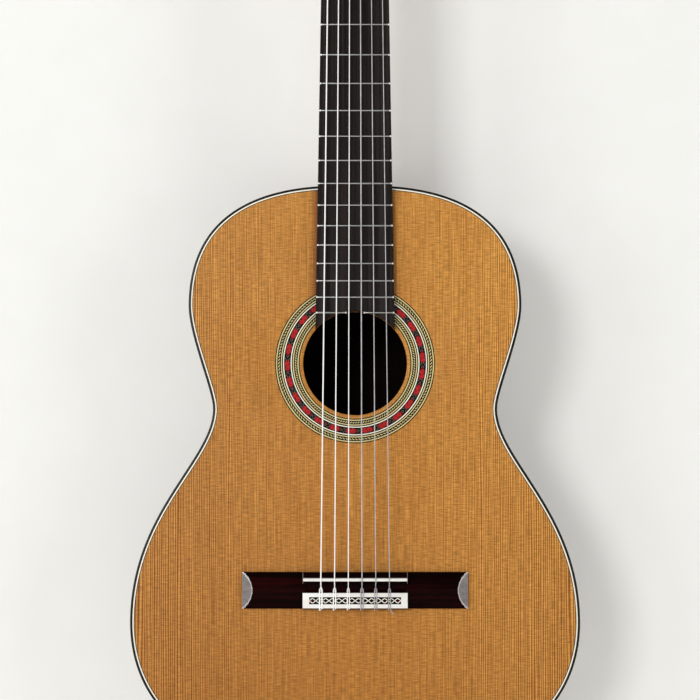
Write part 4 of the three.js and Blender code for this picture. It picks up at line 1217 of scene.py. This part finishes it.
def tuner(k):
    """Barrel, gear, worm and button of string k."""
    side = 1 if k <= 3 else -1
    along = BARRELS[BARREL_OF_STRING[k - 1]]
    barrel, key, axis, r = f"barrel_{k}", f"key_{k}", (side, 0, 0), BARREL_RADIUS / MM
    profile = [(0, r - 0.5), (0.5, r), (10, r), (27.2, r), (27.7, r - 0.5)]
    sleeve = loose(f"{barrel}_sleeve", lathe(profile, (side * 7 * MM, BARREL_DEPTH, along), axis, 40),
                   BARREL_WHITE)
    hole = lathe([(-8, 0.9), (8, 0.9)], (side * 14 * MM, BARREL_DEPTH, along), (0, 1, 0), 16)
    carve(sleeve, [loose("string_hole", hole)])
    sleeve.data.transform(HEAD_FRAME)
    settle(sleeve, f"roller_{k}", barrel, angle=30)
    shaft = lathe([(0, 1.95), (7.6, 1.95), (8.0, 1.6)], (side * 34.3 * MM, BARREL_DEPTH, along), axis, 24)
    piece(f"{barrel}_shaft", in_head(shaft), STEEL, f"roller_{k}", barrel)
    screw(f"gear_screw_{k}", (side * (GEAR_X + 1.55 * MM), BARREL_DEPTH, along), side, 2.6, STEEL,
          f"gear_{k}", barrel)
    gear_wheel(k, side, along, barrel)
    worm_gear(k, side, along - WORM_DROP, key)
    turned_button(k, side, along - WORM_DROP, key)


def gear_wheel(k, side, along, body):
    teeth = 15
    rows = []
    for x, lift in ((-1.5, -0.12), (-1.35, 0), (1.35, 0), (1.5, -0.12)):
        tooth = ((5, -0.136), (5.8, -0.078), (6.6 + lift, -0.038), (6.6 + lift, 0.038), (5.8, 0.078),
                 (5, 0.136))
        spots = [(radius * MM, 2 * pi * (i + 0.5) / teeth + spread) for i in range(teeth)
                 for radius, spread in tooth]
        rows.append([(side * (GEAR_X + x * MM), BARREL_DEPTH + radius * sin(turn), along - radius * cos(turn))
                     for radius, turn in spots])
    piece(f"gear_{k}_wheel", in_head(loft(rows)), BRASS, f"gear_{k}", body, angle=25)
    start = (side * (HEAD_HALF + 1.65 * MM), BARREL_DEPTH, along)
    hub = lathe([(0, 3.0), (0.3, 3.4), (3, 3.4)], start, (side, 0, 0), 32)
    piece(f"gear_{k}_hub", in_head(hub), BRASS, f"gear_{k}", body)


def worm_gear(k, side, worm_z, body):
    """A single right-hand thread, in mesh with its gear at rest, on its turned shaft."""
    pitch, turns, steps = pi * 0.8 * MM, 3, 96
    root = 1.6
    half_tooth = [(root, 0.6), (2.6, 0.42), (3.3, 0.27), (3.45, 0.16)]
    tooth = [(radius, -across) for radius, across in half_tooth] + half_tooth[::-1]
    rows = []
    for i in range(steps + 1):
        turn = (i / steps - 0.5) * turns
        fade = clamp(min(i, steps - i) / 10)
        row = []
        for radius, across in tooth:
            out = (root + (radius - root) * fade) * MM
            row.append((side * GEAR_X + out * sin(2 * pi * turn), BARREL_DEPTH + across * MM + pitch * turn,
                        worm_z + out * cos(2 * pi * turn)))
        rows.append(row)
    piece(f"worm_{k}_thread", in_head(loft(rows)), STEEL, f"worm_{k}", body, angle=30)
    profile = [(0, 1.2), (0.3, 1.5), (2.5, 1.5), (2.6, 1.9), (13.8, 1.9), (13.9, 1.5), (17.5, 1.5),
               (17.6, 2.5), (18.6, 2.5), (19.0, 1.5), (25.7, 1.5)]
    shaft = lathe(profile, (side * GEAR_X, 0.8 * MM, worm_z), (0, 1, 0), 28)
    piece(f"worm_{k}_shaft", in_head(shaft), STEEL, f"worm_{k}", body, angle=30)


def turned_button(k, side, worm_z, body):
    """An oval button, flattened on two faces, on a metal ferrule."""
    rows = []
    for i in range(1, 24):
        polar = pi * i / 24
        row = []
        for j in range(40):
            a, b = cos(2 * pi * j / 40), sin(2 * pi * j / 40)
            x = copysign(abs(b) ** 0.9, b) * sin(polar) ** 0.8 * 4.5
            z = a * sin(polar) ** 0.75 * 8.9
            row.append((side * GEAR_X + x * MM, (27 - cos(polar) * 6.5) * MM, worm_z + z * MM))
        rows.append(row)
    piece(f"button_{k}_pearl", in_head(loft(rows)), PEARL, f"button_{k}", body, angle=60)
    ferrule = lathe([(0, 2.2), (0.3, 2.6), (1.8, 2.9), (2.6, 2.4)], (side * GEAR_X, 19.3 * MM, worm_z),
                    (0, 1, 0), 28)
    piece(f"button_{k}_ferrule", in_head(ferrule), BRASS, f"button_{k}", body)


# ---- inner pieces keep their CAD shapes
def inner_pieces():
    for name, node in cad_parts.items():
        material = None
        if "lining" in name or name == "tail_block":
            material = LINING
        elif "bar" in name.split("_") or "brace" in name or name == "fan_bracing":
            material = SPRUCE
        if material:
            node.data.materials.clear()
            node.data.materials.append(material)


# ---- stage, lights, camera
def stage():
    paper, wall_y, reach = stage_paint(), 0.065, 6
    floor = [(x, y, -0.002) for x, y in ((-reach, -reach), (reach, -reach), (reach, reach), (-reach, reach))]
    wall = [(x, wall_y, z) for x, z in ((-reach, -0.5), (reach, -0.5), (reach, 5), (-reach, 5))]
    for name, corners in (("studio_floor", floor), ("studio_wall", wall)):
        mesh = bpy.data.meshes.new(name)
        mesh.from_pydata(corners, [], [(0, 1, 2, 3)])
        mesh.materials.append(paper)
        linked(name, mesh)


def light(name, place, size, power):
    data = bpy.data.lights.new(name, "AREA")
    data.shape = "RECTANGLE"
    data.size, data.size_y = size
    data.energy = power
    made = linked(name, data)
    made.location = place
    made.rotation_euler = (Vector((0, 0, 0.45)) - Vector(place)).to_track_quat("-Z", "Y").to_euler()


def lighting():
    """Two broad lights at the sides, a softer one near the camera's left, and a pale room."""
    light("left_light", (-2.2, -1.9, 0.65), (0.9, 1.5), 11)
    light("right_light", (2.2, -1.9, 0.65), (0.9, 1.5), 13)
    light("front_light", (-2.1, -4.3, 1.15), (1.3, 1.3), 81)
    light("rear_left_light", (-1.6, 2.2, 1.3), (1.2, 1.6), 26)
    light("rear_right_light", (1.9, 2.0, 0.9), (1.2, 1.6), 20)
    world = bpy.data.worlds.new("studio")
    world.use_nodes = True
    tree = world.node_tree
    room = tree.nodes["Background"]
    room.inputs[0].default_value = (0.95, 0.96, 0.98, 1)
    room.inputs[1].default_value = 0.22
    seen = tree.nodes.new("ShaderNodeBackground")
    seen.inputs[0].default_value = (*srgb(232, 232, 230), 1)
    blend = tree.nodes.new("ShaderNodeMixShader")
    paths = tree.nodes.new("ShaderNodeLightPath")
    tree.links.new(paths.outputs["Is Camera Ray"], blend.inputs[0])
    tree.links.new(room.outputs[0], blend.inputs[1])
    tree.links.new(seen.outputs[0], blend.inputs[2])
    tree.links.new(blend.outputs[0], tree.nodes["World Output"].inputs[0])
    bpy.context.scene.world = world
    bpy.context.scene.view_settings.view_transform = "Standard"


def camera():
    """Level with the body, looking slightly up along a guitar whose foot is nearer."""
    distance, pitch = 1.3, radians(3.89)
    ahead = Vector((0, cos(pitch), sin(pitch)))
    data = bpy.data.cameras.new("camera")
    data.sensor_width = 36
    data.lens = 36 * 1.2032 * distance / (700 * MM)
    made = linked("camera", data)
    made.location = Vector((-4.2 * MM, TOP_Y, 348.3 * MM)) - ahead * distance
    made.rotation_euler = ahead.to_track_quat("-Z", "Y").to_euler()
    bpy.context.scene.camera = made


soundboard()
rosette()
body_shell()
back_plate()
neck()
fingerboard()
nut_and_saddle()
for side, label in LABELS.items():
    bridge_wing(side, label)
bridge_middle()
tie_block_cap()
strings()
headstock()
for side, label in LABELS.items():
    machine(side, label)
for k in range(1, 7):
    tuner(k)
inner_pieces()
stage()
lighting()
camera()
